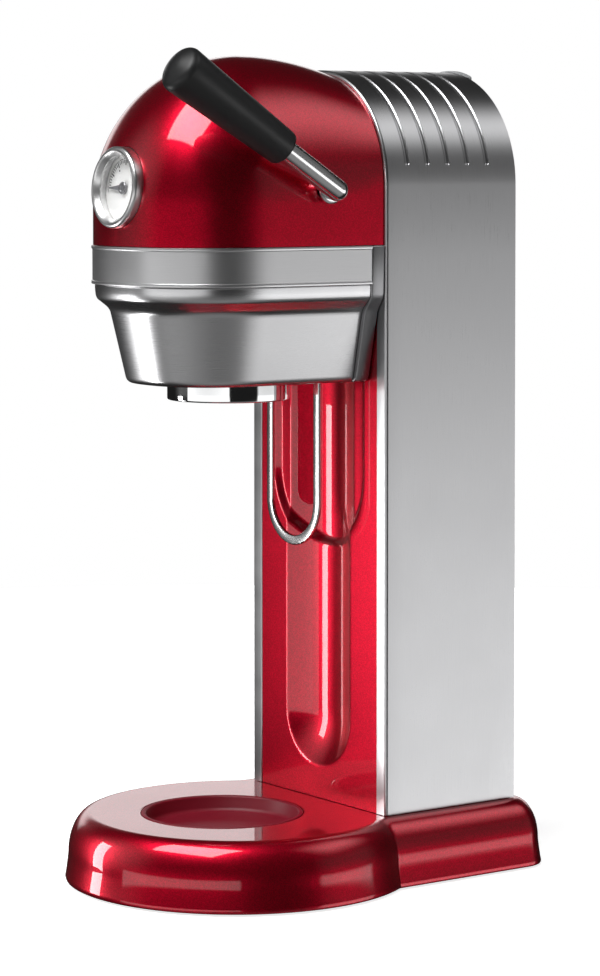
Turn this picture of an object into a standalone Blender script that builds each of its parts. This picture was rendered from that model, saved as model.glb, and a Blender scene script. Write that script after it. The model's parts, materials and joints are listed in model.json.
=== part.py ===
"""Soda carbonator: a keyhole base, a metal column with a gas cylinder in it, and a domed head.

Every physical piece is one object.  The frame is in metres with +Z up; the origin is on the floor
under the middle of the base, and the column stands at the back (+Y).  Lengths along Y below are
measured from the dish's middle, and the empty "machine" carries that point to its place.
"""

import math

import bmesh
import bpy
from mathutils import Matrix, Vector

# ---------------------------------------------------------------- fits
GAP = 0.0003               # between pieces that rest on or in each other
SEGMENTS = 40              # sides of a large round piece
SMALL_SEGMENTS = 16        # sides of a small round piece

# ---------------------------------------------------------------- base
FOOT_HEIGHT = 0.0017
FOOT_RADIUS = 0.009
SKIRT_CLEARANCE = 0.0012   # skirt's lower edge above the floor
BASE_HEIGHT = 0.035
BASE_WALL = 0.003
RING_RADIUS = 0.0758       # flat top of the round front
RING_CENTRE_Y = 0.010
SKIRT_FLARE = 0.0131       # how far the skirt stands out past the flat top at the floor
SHOULDER_OUT = 0.0115      # the rounded shoulder's reach
SHOULDER_DROP = 0.0205
BLOCK_HALF_WIDTH = 0.0615  # flat top of the rear block
BLOCK_OVERHANG = 0.0031    # flat top behind the column
BLOCK_REAR_LEAN = 0.82     # the rear face leans out less than the sides
BLOCK_CORNER = 0.009
PLATE_THICKNESS = 0.002
SCREW_RADIUS = 0.0016
SCREW_HEAD_RADIUS = 0.0032
BOSS_RADIUS = 0.0045

# ---------------------------------------------------------------- dish
DISH_RADIUS = 0.0415
DISH_POCKET_DEPTH = 0.009
DISH_WALL = 0.0016

# ---------------------------------------------------------------- column
COLUMN_HALF_WIDTH = 0.0591
COLUMN_FRONT = 0.0604
COLUMN_DEPTH = 0.0845
ARCH_SPRING_Z = 0.3563
SHELL_WALL = 0.0015
SHELL_LIP = 0.0080
SHELL_CORNER = 0.0016
GROOVE_COUNT = 5
GROOVE_FIRST = 0.0140      # first groove behind the column's front
GROOVE_PITCH = 0.0129
GROOVE_RADIUS = 0.0020
GROOVE_DEPTH = 0.0009
GROOVE_START_DEG = 11.0    # above the arch's springing

# ---------------------------------------------------------------- front panel
PANEL_THICKNESS = 0.0022
PANEL_INSET = 0.0004
CHANNEL_HALF_WIDTH = 0.028
CHANNEL_DEPTH = 0.009
CHANNEL_END_Z = 0.052
RECESS_HALF_WIDTH = 0.040
RECESS_DEPTH = 0.0025
RECESS_END_Z = 0.167
PANEL_TOP_Z = 0.305

# ---------------------------------------------------------------- head
HEAD_HALF_WIDTH = 0.0578
HEAD_REACH = 0.0634        # front of the head before the dish's middle
HEAD_ARC_Y = -0.0060       # where the straight sides start to turn in
HEAD_ROUNDNESS = 2.35      # exponent of the plan's rounded front
BOWL_BOTTOM_Z = 0.256
BOWL_TOP_Z = 0.306
BOWL_WALL = 0.0018
SADDLE_DEPTH = 0.0078      # the flange between the bowl and the column
SADDLE_PROUD = 0.0030      # how far it stands out past the bowl's wall
BAND_HEIGHT = 0.0195
BAND_WALL = 0.0020
BAND_PROUD = 0.0009
DOME_WALL = 0.0025
DOME_SIDE_TOP_Z = 0.3465
DOME_TOP_Z = 0.4219
DOME_CROWN_Y = 0.010
DOME_REAR_INSET = 0.0018   # the dome's rear edge inside the column's outline

# ---------------------------------------------------------------- gauge
GAUGE_CENTRE_Z = 0.3555
GAUGE_FRONT_Y = -0.0657
GAUGE_TILT_DEG = 4.5
BEZEL_RADIUS = 0.0205
BEZEL_OPENING = BEZEL_RADIUS - 0.0047
BEZEL_DEPTH = 0.010
DIAL_RADIUS = BEZEL_RADIUS - 0.0033
NEEDLE_LENGTH = BEZEL_OPENING - 0.0033

# ---------------------------------------------------------------- lever
LEVER_PIVOT_Y = 0.0229
LEVER_PIVOT_Z = 0.3542
LEVER_PLANE_X = 0.068
LEVER_ANGLE_DEG = 32.3     # above the level, at rest
LEVER_TRAVEL_DEG = 35.0
SHAFT_RADIUS = 0.0030
HUB_RADIUS = 0.0072         # flared hub between the head and the arm
HUB_NECK_RADIUS = 0.0042
ROD_RADIUS = 0.0057
GRIP_START = 0.0376        # along the lever from its pivot
GRIP_LENGTH = 0.0774
GRIP_RADIUS_INNER = 0.0092
GRIP_RADIUS_OUTER = 0.0122
CAM_BASE_RADIUS = 0.008
PUSHROD_TRAVEL = 0.003
PUSHROD_RADIUS = 0.003
CAM_CLEARANCE = 0.0008

# ---------------------------------------------------------------- inner frame
SHEET = 0.002
FRAME_HALF_WIDTH = 0.030
HEAD_FLOOR_Z = 0.308
HEAD_FLOOR_FRONT = -0.030
HEAD_FLOOR_BACK = 0.0865
LEVER_FRAME_TOP_Z = 0.372
VALVE_FRONT = 0.095
VALVE_BACK = 0.126
VALVE_BOTTOM_Z = 0.340
VALVE_TOP_Z = 0.364
TUBE_RADIUS = 0.002

# ---------------------------------------------------------------- cylinder
CYLINDER_RADIUS = 0.030
CYLINDER_AXIS_Y = 0.109
SEAT_RADIUS = 0.0311
CYLINDER_BOTTOM_Z = 0.041
CYLINDER_SHOULDER_Z = 0.286
CYLINDER_NECK_Z = 0.312
CYLINDER_TOP_Z = 0.322
NECK_RADIUS = 0.0125
NECK_BORE = 0.006
CYLINDER_WALL = 0.0028
VALVE_STEM_RADIUS = 0.009

# ---------------------------------------------------------------- bottle cradle
BOTTLE_Y = 0.0043          # the bottle's axis behind the dish's middle
CRADLE_PIVOT_Z = 0.268
COLLAR_RADIUS = 0.0314
COLLAR_BOTTOM_Z = 0.247
BOTTLE_NECK_RADIUS = 0.020
YOKE_BOTTOM_Z = 0.266
YOKE_THICKNESS = 0.003
CRADLE_TILT_DEG = 8.0
LOOP_Y = 0.0452
LOOP_RADIUS = 0.0207       # to the middle of the bar
LOOP_BAR_WIDTH = 0.005
LOOP_BAR_THICKNESS = 0.0022
LOOP_BOTTOM_Z = 0.1693
BRACKET_X = 0.0365
NOZZLE_RADIUS = 0.0028

# ---------------------------------------------------------------- rear cover
COVER_THICKNESS = 0.002
COVER_RIM = 0.0018
LATCH_HALF_WIDTH = 0.016
LATCH_TOP_Z = ARCH_SPRING_Z + 0.0600
LATCH_BOTTOM_Z = ARCH_SPRING_Z + 0.0417
LATCH_THICKNESS = 0.0050
LATCH_TRAVEL = 0.0025

# ---------------------------------------------------------------- sizes that follow
COLUMN_BACK = COLUMN_FRONT + COLUMN_DEPTH
SKIRT_RADIUS = RING_RADIUS + SKIRT_FLARE
BASE_FRONT = RING_CENTRE_Y - SKIRT_RADIUS
BASE_BACK = COLUMN_BACK + BLOCK_OVERHANG + SKIRT_FLARE * BLOCK_REAR_LEAN
DISH_AXIS_Y = -(BASE_FRONT + BASE_BACK) / 2
DISH_FLOOR_Z = BASE_HEIGHT - DISH_POCKET_DEPTH
ON_BASE_Z = BASE_HEIGHT + GAP
PLATE_BOTTOM_Z = FOOT_HEIGHT + GAP
PLATE_TOP_Z = PLATE_BOTTOM_Z + PLATE_THICKNESS
HEAD_BACK = COLUMN_FRONT - GAP
BOWL_BACK = HEAD_BACK - SADDLE_DEPTH - GAP
BAND_BOTTOM_Z = BOWL_TOP_Z + GAP
BAND_TOP_Z = BAND_BOTTOM_Z + BAND_HEIGHT
DOME_BOTTOM_Z = BAND_TOP_Z + GAP
FRAME_TOP_Z = HEAD_FLOOR_Z - GAP
LEVER_AXIS = Vector((0.0, LEVER_PIVOT_Y, LEVER_PIVOT_Z))
LEVER_DIRECTION = Vector((0.0, -math.cos(math.radians(LEVER_ANGLE_DEG)),
                          math.sin(math.radians(LEVER_ANGLE_DEG))))
GAUGE_ORIGIN = Vector((0.0, GAUGE_FRONT_Y, GAUGE_CENTRE_Z))
GAUGE_NORMAL = Vector((0.0, -math.cos(math.radians(GAUGE_TILT_DEG)),
                       math.sin(math.radians(GAUGE_TILT_DEG))))
BOTTLE_AXIS = Vector((0.0, BOTTLE_Y, 0.0))
CRADLE_AXIS = Vector((0.0, BOTTLE_Y, CRADLE_PIVOT_Z))
CYLINDER_AXIS = Vector((0.0, CYLINDER_AXIS_Y, CYLINDER_BOTTOM_Z))
PUSHROD_FRONT = LEVER_PIVOT_Y + CAM_BASE_RADIUS + CAM_CLEARANCE
YOKE_TOP_Z = YOKE_BOTTOM_Z + YOKE_THICKNESS
LOOP_CENTRE_Z = LOOP_BOTTOM_Z + LOOP_RADIUS + LOOP_BAR_WIDTH / 2
UP = Vector((0.0, 0.0, 1.0))
RIGHT = Vector((1.0, 0.0, 0.0))
BACK = Vector((0.0, 1.0, 0.0))

# colour, roughness, metallic
FINISHES = {
    "red_enamel": ((0.34, 0.004, 0.018), 0.12, 0.35),
    "dark_red_plastic": ((0.12, 0.002, 0.010), 0.45, 0.0),
    "brushed_steel": ((0.56, 0.56, 0.57), 0.33, 1.0),
    "satin_aluminium": ((0.66, 0.67, 0.68), 0.25, 1.0),
    "chrome": ((0.80, 0.80, 0.81), 0.06, 1.0),
    "black_grip": ((0.012, 0.012, 0.013), 0.42, 0.0),
    "grey_plastic": ((0.38, 0.39, 0.40), 0.40, 0.0),
    "dial_white": ((0.85, 0.85, 0.84), 0.50, 0.0),
    "needle_grey": ((0.10, 0.10, 0.11), 0.40, 0.0),
    "clear_lens": ((0.95, 0.97, 0.98), 0.03, 0.0),
    "black_rubber": ((0.015, 0.015, 0.015), 0.75, 0.0),
    "zinc_steel": ((0.50, 0.50, 0.52), 0.40, 1.0),
    "brass": ((0.60, 0.42, 0.16), 0.30, 1.0),
    "cylinder_enamel": ((0.30, 0.32, 0.34), 0.35, 0.2),
    "nylon": ((0.72, 0.72, 0.70), 0.50, 0.0),
}


# ---------------------------------------------------------------- building tools

def clear_scene():
    """Remove whatever the file opened with."""
    for obj in list(bpy.data.objects):
        bpy.data.objects.remove(obj, do_unlink=True)


def finish_material(name):
    """Return the Principled material of one finish."""
    material = bpy.data.materials.get(name)
    if material:
        return material
    colour, roughness, metallic = FINISHES[name]
    material = bpy.data.materials.new(name)
    material.use_nodes = True
    shader = material.node_tree.nodes["Principled BSDF"]
    shader.inputs["Base Color"].default_value = (*colour, 1.0)
    shader.inputs["Roughness"].default_value = roughness
    shader.inputs["Metallic"].default_value = metallic
    return material


def empty(name, location, parent=None):
    """Add an empty that carries the pieces of one moving body."""
    guide = bpy.data.objects.new(name, None)
    bpy.context.scene.collection.objects.link(guide)
    guide.parent = parent
    guide.location = location
    return guide


def piece(name, bm, finish, carrier):
    """Turn a bmesh in the dish's frame into an object whose origin is its carrier's."""
    bmesh.ops.remove_doubles(bm, verts=bm.verts, dist=1e-6)
    bmesh.ops.recalc_face_normals(bm, faces=bm.faces)
    if carrier is not MACHINE:
        bmesh.ops.translate(bm, verts=bm.verts, vec=-carrier.location)
    mesh = bpy.data.meshes.new(name)
    bm.to_mesh(mesh)
    bm.free()
    mesh.shade_smooth()
    mesh.set_sharp_from_angle(angle=math.radians(32))
    mesh.materials.append(finish_material(finish))
    obj = bpy.data.objects.new(name, mesh)
    bpy.context.scene.collection.objects.link(obj)
    obj.parent = carrier
    return obj


def shape_with(obj, bm, name, operation="DIFFERENCE"):
    """Cut a tool's shape out of a piece, or join it on."""
    tool = piece(name, bm, "grey_plastic", obj.parent)
    tool.hide_render = True
    tool.display_type = "WIRE"
    modifier = obj.modifiers.new(name, "BOOLEAN")
    modifier.operation = operation
    modifier.object = tool
    modifier.solver = "EXACT"


def box(low, high):
    """Return a block between two corners."""
    bm = bmesh.new()
    bmesh.ops.create_cube(bm, size=1.0)
    low = Vector(low)
    high = Vector(high)
    bmesh.ops.scale(bm, verts=bm.verts, vec=high - low)
    bmesh.ops.translate(bm, verts=bm.verts, vec=(low + high) / 2)
    return bm


def loft(rings, capped=True):
    """Join closed rings of equal length into a skin, with flat caps or with the ends joined."""
    bm = bmesh.new()
    rows = [[bm.verts.new(point) for point in ring] for ring in rings]
    count = len(rows[0])
    pairs = list(zip(rows, rows[1:]))
    if not capped:
        pairs.append((rows[-1], rows[0]))
    for lower, upper in pairs:
        for i in range(count):
            j = (i + 1) % count
            bm.faces.new((lower[i], lower[j], upper[j], upper[i]))
    if capped:
        bm.faces.new(rows[0])
        bm.faces.new(rows[-1])
    return bm


def turned(profile, origin=(0.0, 0.0, 0.0), direction=UP, segments=SEGMENTS):
    """Turn (radius, height) points about an axis; ends off the axis are joined to each other."""
    placing = Matrix.Translation(origin) @ direction.to_track_quat("Z", "Y").to_matrix().to_4x4()
    bm = bmesh.new()
    rows = []
    for radius, height in profile:
        if radius < 1e-7:
            rows.append([bm.verts.new(placing @ Vector((0.0, 0.0, height)))])
            continue
        row = []
        for i in range(segments):
            angle = math.tau * i / segments
            point = Vector((radius * math.cos(angle), radius * math.sin(angle), height))
            row.append(bm.verts.new(placing @ point))
        rows.append(row)
    pairs = list(zip(rows, rows[1:]))
    if len(rows[0]) > 1:
        pairs.append((rows[-1], rows[0]))
    for first, second in pairs:
        for i in range(segments):
            j = (i + 1) % segments
            corners = []
            for vert in (first[i % len(first)], first[j % len(first)],
                         second[j % len(second)], second[i % len(second)]):
                if vert not in corners:
                    corners.append(vert)
            bm.faces.new(corners)
    return bm


def rod(radius, start, end, segments=SMALL_SEGMENTS):
    """Return a plain cylinder between two points."""
    start = Vector(start)
    axis = Vector(end) - start
    profile = [(0.0, 0.0), (radius, 0.0), (radius, axis.length), (0.0, axis.length)]
    return turned(profile, start, axis.normalized(), segments)


def prism(outline, origin, across, along, depth):
    """Extrude a flat outline of (u, v) points by depth, at right angles to its plane."""
    normal = across.cross(along)
    base = [Vector(origin) + across * u + along * v for u, v in outline]
    return loft([base, [point + normal * depth for point in base]])


def sweep(stations, section):
    """Carry a section of (out, side) points along stations of (point, outward, sideways)."""
    rings = []
    for point, outward, sideways in stations:
        rings.append([point + outward * out + sideways * side for out, side in section])
    return loft(rings)


def arc(centre, radius, start_deg, end_deg, steps):
    """Return points on an arc in a plane."""
    points = []
    for i in range(steps + 1):
        angle = math.radians(start_deg + (end_deg - start_deg) * i / steps)
        points.append((centre[0] + radius * math.cos(angle), centre[1] + radius * math.sin(angle)))
    return points


def tube(points, radius, sides=10):
    """Return a round tube whose middle follows the points."""
    points = [Vector(point) for point in points]
    rings = []
    side = None
    for i, point in enumerate(points):
        ahead = points[min(i + 1, len(points) - 1)] - points[max(i - 1, 0)]
        ahead.normalize()
        if side is None:
            side = ahead.orthogonal().normalized()
        side = (side - ahead * side.dot(ahead)).normalized()
        other = ahead.cross(side)
        ring = []
        for k in range(sides):
            angle = math.tau * k / sides
            ring.append(point + side * radius * math.cos(angle) + other * radius * math.sin(angle))
        rings.append(ring)
    return loft(rings)


# ---------------------------------------------------------------- outlines

def superellipse_quarter(angle, exponent):
    """Return cosine and sine stretched to a superellipse."""
    c = math.cos(angle)
    s = math.sin(angle)
    return (math.copysign(abs(c) ** (2 / exponent), c), math.copysign(abs(s) ** (2 / exponent), s))


def head_plan(out, z, scale=1.0, back=BOWL_BACK, steps=24):
    """Return the head's D outline at a height, grown by out and shrunk towards the crown."""
    half = (HEAD_HALF_WIDTH + out) * scale
    centre = DOME_CROWN_Y + (HEAD_ARC_Y - DOME_CROWN_Y) * scale
    reach = (HEAD_REACH + out + HEAD_ARC_Y) * scale
    points = [Vector((-half, back, z))]
    for i in range(steps + 1):
        c, s = superellipse_quarter(math.pi * i / steps, HEAD_ROUNDNESS)
        points.append(Vector((-half * c, centre - reach * s, z)))
    points.append(Vector((half, back, z)))
    return points


def bowl_levels():
    """Return the bowl's (inset from the head's plan, height) from its floor to its rim."""
    foot = BOWL_BOTTOM_Z
    return [(0.0190, foot), (0.0166, foot + 0.0009), (0.0155, foot + 0.0034), (0.0083, foot + 0.036),
            (0.0080, foot + 0.0375), (0.0060, foot + 0.0395), (0.0036, foot + 0.0412),
            (0.0014, foot + 0.0430), (0.0008, foot + 0.0455), (0.0008, BOWL_TOP_Z)]


def skirt_levels():
    """Return the base's (growth past its flat top, height) from the floor edge to the top."""
    low = SKIRT_CLEARANCE
    levels = [(SKIRT_FLARE - 0.0008, low), (SKIRT_FLARE, low + 0.0012)]
    wall_top = BASE_HEIGHT - SHOULDER_DROP
    levels.append((SHOULDER_OUT + (SKIRT_FLARE - SHOULDER_OUT) * 0.45, (low + wall_top) / 2))
    for i in range(6):
        angle = math.radians(90 * i / 5)
        levels.append((SHOULDER_OUT * math.cos(angle), wall_top + SHOULDER_DROP * math.sin(angle)))
    return levels


def ring_outline(radius, z, segments=72):
    """Return the base's round front at a height."""
    return [Vector((radius * math.cos(math.tau * i / segments),
                    RING_CENTRE_Y + radius * math.sin(math.tau * i / segments), z))
            for i in range(segments)]


def block_outline(growth, z):
    """Return the base's rear block at a height, running forward into the round front."""
    half = BLOCK_HALF_WIDTH + growth
    back = COLUMN_BACK + BLOCK_OVERHANG + growth * BLOCK_REAR_LEAN
    corner = BLOCK_CORNER + growth * 0.5
    front = RING_CENTRE_Y + 0.020
    outline = [(-half, front), (half, front)]
    outline += arc((half - corner, back - corner), corner, 0, 90, 5)
    outline += arc((corner - half, back - corner), corner, 90, 180, 5)
    return [Vector((x, y, z)) for x, y in outline]


def arch_stations(radius_offset=0.0, foot_z=ON_BASE_Z, steps=24):
    """Return stations up one side of the column, over its arch and down the other side."""
    stations = [(Vector((-radius_offset, 0.0, foot_z)), -RIGHT, BACK)]
    for i in range(steps + 1):
        angle = math.pi - math.pi * i / steps
        outward = Vector((math.cos(angle), 0.0, math.sin(angle)))
        stations.append((Vector((0.0, 0.0, ARCH_SPRING_Z)), outward, BACK))
    stations.append((Vector((radius_offset, 0.0, foot_z)), RIGHT, BACK))
    return stations


# ---------------------------------------------------------------- base and dish

def screw_places():
    """Return the four points on the base's plate where screws go up into bosses."""
    return [("front_left", -0.052, -0.032), ("front_right", 0.052, -0.032),
            ("rear_left", -0.060, COLUMN_BACK - 0.012), ("rear_right", 0.060, COLUMN_BACK - 0.012)]


def build_base():
    """Model the cast base, its plate, feet, screws and the lift-out dish."""
    levels = skirt_levels()
    base = piece("base_casting", loft([ring_outline(RING_RADIUS + g, z) for g, z in levels]),
                 "red_enamel", MACHINE)
    shape_with(base, loft([block_outline(g, z) for g, z in levels]), "base_block_tool", "UNION")
    inner = [(g - BASE_WALL, min(z, BASE_HEIGHT - BASE_WALL)) for g, z in levels[1:5]]
    inner.insert(0, (SKIRT_FLARE - BASE_WALL, -0.005))
    inner.append((-BASE_WALL - 0.001, BASE_HEIGHT - BASE_WALL))
    shape_with(base, loft([ring_outline(RING_RADIUS + g, z) for g, z in inner]), "base_hollow_tool")
    shape_with(base, loft([block_outline(g, z) for g, z in inner]), "base_block_hollow_tool")
    pocket = DISH_RADIUS + GAP
    shape_with(base, rod(pocket + DISH_WALL, (0, 0, DISH_FLOOR_Z - GAP - DISH_WALL),
                         (0, 0, BASE_HEIGHT - 0.001), SEGMENTS), "base_pocket_wall_tool", "UNION")
    shape_with(base, rod(pocket, (0, 0, DISH_FLOOR_Z - GAP), (0, 0, BASE_HEIGHT + 0.01), SEGMENTS),
               "base_pocket_tool")
    for label, x, y in screw_places():
        shape_with(base, rod(BOSS_RADIUS, (x, y, PLATE_TOP_Z + GAP), (x, y, BASE_HEIGHT - 0.002)),
                   "boss_tool_" + label, "UNION")
        shape_with(base, rod(SCREW_RADIUS + GAP, (x, y, 0), (x, y, BASE_HEIGHT - 0.012)),
                   "boss_bore_tool_" + label)

    fit = SKIRT_FLARE - BASE_WALL - 0.0012
    plate = piece("base_plate", loft([ring_outline(RING_RADIUS + fit, z) for z in
                                      (PLATE_BOTTOM_Z, PLATE_TOP_Z)]), "zinc_steel", MACHINE)
    shape_with(plate, loft([block_outline(fit, z) for z in (PLATE_BOTTOM_Z, PLATE_TOP_Z)]),
               "plate_block_tool", "UNION")
    for label, x, y in screw_places():
        shape_with(plate, rod(SCREW_RADIUS + GAP, (x, y, 0), (x, y, 0.01)), "plate_bore_" + label)
        head_top = PLATE_BOTTOM_Z - GAP
        tip = BASE_HEIGHT - 0.014
        profile = [(0, 0.0006), (SCREW_HEAD_RADIUS, 0.0006), (SCREW_HEAD_RADIUS, head_top),
                   (SCREW_RADIUS, head_top), (SCREW_RADIUS, tip - SCREW_RADIUS), (0, tip)]
        piece("base_screw_" + label, turned(profile, (x, y, 0), UP, 12), "zinc_steel", MACHINE)
    for label, x, y in (("front_left", -0.034, -0.052), ("front_right", 0.034, -0.052),
                        ("rear_left", -0.052, COLUMN_BACK - 0.030),
                        ("rear_right", 0.052, COLUMN_BACK - 0.030)):
        profile = [(0, 0), (FOOT_RADIUS - 0.0006, 0), (FOOT_RADIUS, 0.0006),
                   (FOOT_RADIUS, FOOT_HEIGHT), (0, FOOT_HEIGHT)]
        piece("foot_" + label, turned(profile, (x, y, 0), UP, 24), "black_rubber", MACHINE)

    rim = BASE_HEIGHT + 0.0002
    floor = DISH_FLOOR_Z + DISH_WALL
    profile = [(0, DISH_FLOOR_Z), (DISH_RADIUS - 0.003, DISH_FLOOR_Z), (DISH_RADIUS, DISH_FLOOR_Z + 0.003),
               (DISH_RADIUS, rim - 0.0006), (DISH_RADIUS - 0.0006, rim), (DISH_RADIUS - 0.0016, rim),
               (DISH_RADIUS - 0.0026, rim - 0.0012), (DISH_RADIUS - 0.0036, floor + 0.0022),
               (DISH_RADIUS - 0.0064, floor), (0, floor)]
    piece("drip_dish", turned(profile), "dark_red_plastic", DISH)


# ---------------------------------------------------------------- column

def build_shell():
    """Bend the column's shell over its arch and press its grooves."""
    radius = COLUMN_HALF_WIDTH
    section = [(radius, COLUMN_BACK)]
    section += [(x, y) for x, y in arc((radius - SHELL_CORNER, COLUMN_FRONT + SHELL_CORNER),
                                       SHELL_CORNER, 0, -90, 4)]
    section += [(radius - SHELL_LIP, COLUMN_FRONT), (radius - SHELL_LIP, COLUMN_FRONT + SHELL_WALL),
                (radius - SHELL_WALL, COLUMN_FRONT + SHELL_WALL), (radius - SHELL_WALL, COLUMN_BACK)]
    shell = piece("column_shell", sweep(arch_stations(), section), "brushed_steel", MACHINE)
    steps = 20
    for k in range(GROOVE_COUNT):
        y = COLUMN_FRONT + GROOVE_FIRST + GROOVE_PITCH * k
        path = []
        for i in range(steps + 1):
            angle = math.radians(GROOVE_START_DEG + (180 - 2 * GROOVE_START_DEG) * i / steps)
            reach = radius + GROOVE_RADIUS - GROOVE_DEPTH
            path.append((reach * math.cos(angle), y, ARCH_SPRING_Z + reach * math.sin(angle)))
        shape_with(shell, tube(path, GROOVE_RADIUS, 8), "groove_tool_%d" % (k + 1))


def panel_depth(x, z):
    """Return how far the front panel is pressed in at a point."""
    below = min(0.0, z - (CHANNEL_END_Z + CHANNEL_HALF_WIDTH))
    s = math.hypot(x, below) / CHANNEL_HALF_WIDTH
    depth = CHANNEL_DEPTH * (1 - s * s) if s < 1 else 0.0
    below = min(0.0, z - (RECESS_END_Z + RECESS_HALF_WIDTH))
    edge = (RECESS_HALF_WIDTH - math.hypot(x, below)) / 0.004
    edge = max(0.0, min(1.0, edge))
    return depth + RECESS_DEPTH * edge * edge * (3 - 2 * edge)


def build_panel():
    """Press the red front panel with its long channel and the wide recess above."""
    half = COLUMN_HALF_WIDTH - SHELL_LIP - GAP
    columns = [half * i / 14 for i in range(-14, 15)]
    rows = [ON_BASE_Z, 0.044]
    rows += [CHANNEL_END_Z + 0.0035 * i for i in range(9)]
    rows += [0.100, 0.140, RECESS_END_Z - 0.002]
    rows += [RECESS_END_Z + 0.0040 * i for i in range(11)]
    rows += [0.250, PANEL_TOP_Z]
    bm = bmesh.new()
    front = COLUMN_FRONT + PANEL_INSET
    skins = []
    for thickness in (0.0, PANEL_THICKNESS):
        skins.append([[bm.verts.new((x, front + thickness + panel_depth(x, z), z)) for x in columns]
                      for z in rows])
    for skin in skins:
        for lower, upper in zip(skin, skin[1:]):
            for i in range(len(columns) - 1):
                bm.faces.new((lower[i], lower[i + 1], upper[i + 1], upper[i]))
    outer, inner = skins
    for i in range(len(columns) - 1):
        bm.faces.new((outer[0][i], outer[0][i + 1], inner[0][i + 1], inner[0][i]))
        bm.faces.new((outer[-1][i], outer[-1][i + 1], inner[-1][i + 1], inner[-1][i]))
    for k in range(len(rows) - 1):
        bm.faces.new((outer[k][0], outer[k + 1][0], inner[k + 1][0], inner[k][0]))
        bm.faces.new((outer[k][-1], outer[k + 1][-1], inner[k + 1][-1], inner[k][-1]))
    piece("front_panel", bm, "red_enamel", MACHINE)


def build_column_frame():
    """Fold the steel channel that carries the head, and seat the cylinder in it."""
    web = COLUMN_FRONT + PANEL_INSET + CHANNEL_DEPTH + RECESS_DEPTH + PANEL_THICKNESS + 0.001
    wide = COLUMN_HALF_WIDTH - SHELL_WALL - 0.0049
    deep = COLUMN_BACK - 0.010
    outline = [(-wide, deep), (-wide, web), (wide, web), (wide, deep), (wide - SHEET, deep),
               (wide - SHEET, web + SHEET), (SHEET - wide, web + SHEET), (SHEET - wide, deep)]
    piece("column_frame", prism(outline, (0, 0, ON_BASE_Z), RIGHT, BACK, FRAME_TOP_Z - ON_BASE_Z),
          "zinc_steel", MACHINE)
    inner = CYLINDER_RADIUS + GAP
    outer = SEAT_RADIUS
    profile = [(0, ON_BASE_Z), (outer, ON_BASE_Z), (outer, ON_BASE_Z + 0.012),
               (inner, ON_BASE_Z + 0.012), (inner, CYLINDER_BOTTOM_Z - GAP),
               (0, CYLINDER_BOTTOM_Z - GAP)]
    piece("cylinder_seat", turned(profile, (0, CYLINDER_AXIS_Y, 0)), "nylon", MACHINE)


def build_cylinder():
    """Turn the gas cylinder and its valve."""
    foot = CYLINDER_BOTTOM_Z
    radius = CYLINDER_RADIUS
    rise = CYLINDER_NECK_Z - CYLINDER_SHOULDER_Z
    profile = [(0, foot), (radius - 0.006, foot), (radius - 0.0018, foot + 0.0018),
               (radius, foot + 0.006), (radius, CYLINDER_SHOULDER_Z)]
    inside = [(0, foot + 2 * CYLINDER_WALL), (radius - 0.006, foot + 2 * CYLINDER_WALL),
              (radius - CYLINDER_WALL, foot + 0.012), (radius - CYLINDER_WALL, CYLINDER_SHOULDER_Z)]
    for i in range(1, 6):
        angle = math.radians(90 * i / 6)
        out = (radius - NECK_RADIUS) * math.cos(angle)
        up = rise * math.sin(angle)
        profile.append((NECK_RADIUS + out, CYLINDER_SHOULDER_Z + up))
        inside.append((NECK_BORE + (radius - CYLINDER_WALL - NECK_BORE) * math.cos(angle),
                       CYLINDER_SHOULDER_Z + up - CYLINDER_WALL * math.sin(angle)))
    profile += [(NECK_RADIUS, CYLINDER_NECK_Z), (NECK_RADIUS, CYLINDER_TOP_Z), (NECK_BORE, CYLINDER_TOP_Z)]
    profile += [(NECK_BORE, CYLINDER_NECK_Z - CYLINDER_WALL)] + inside[::-1]
    place = (0, CYLINDER_AXIS_Y, 0)
    piece("gas_cylinder", turned(profile, place), "cylinder_enamel", CYLINDER)
    low = CYLINDER_TOP_Z + GAP
    profile = [(0, low), (NECK_RADIUS - 0.0015, low), (NECK_RADIUS - 0.0015, low + 0.009),
               (VALVE_STEM_RADIUS, low + 0.011), (VALVE_STEM_RADIUS, VALVE_BOTTOM_Z + 0.0085),
               (VALVE_STEM_RADIUS - 0.001, VALVE_BOTTOM_Z + 0.0095), (0, VALVE_BOTTOM_Z + 0.0095)]
    piece("cylinder_valve", turned(profile, place, UP, 32), "brass", CYLINDER)


def cover_outline(half, foot, radius):
    """Return the outline of the column's back opening, as (x, z)."""
    outline = [(-half, foot), (half, foot)]
    outline += arc((0.0, ARCH_SPRING_Z), radius, 0, 180, 24)
    return outline


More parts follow.
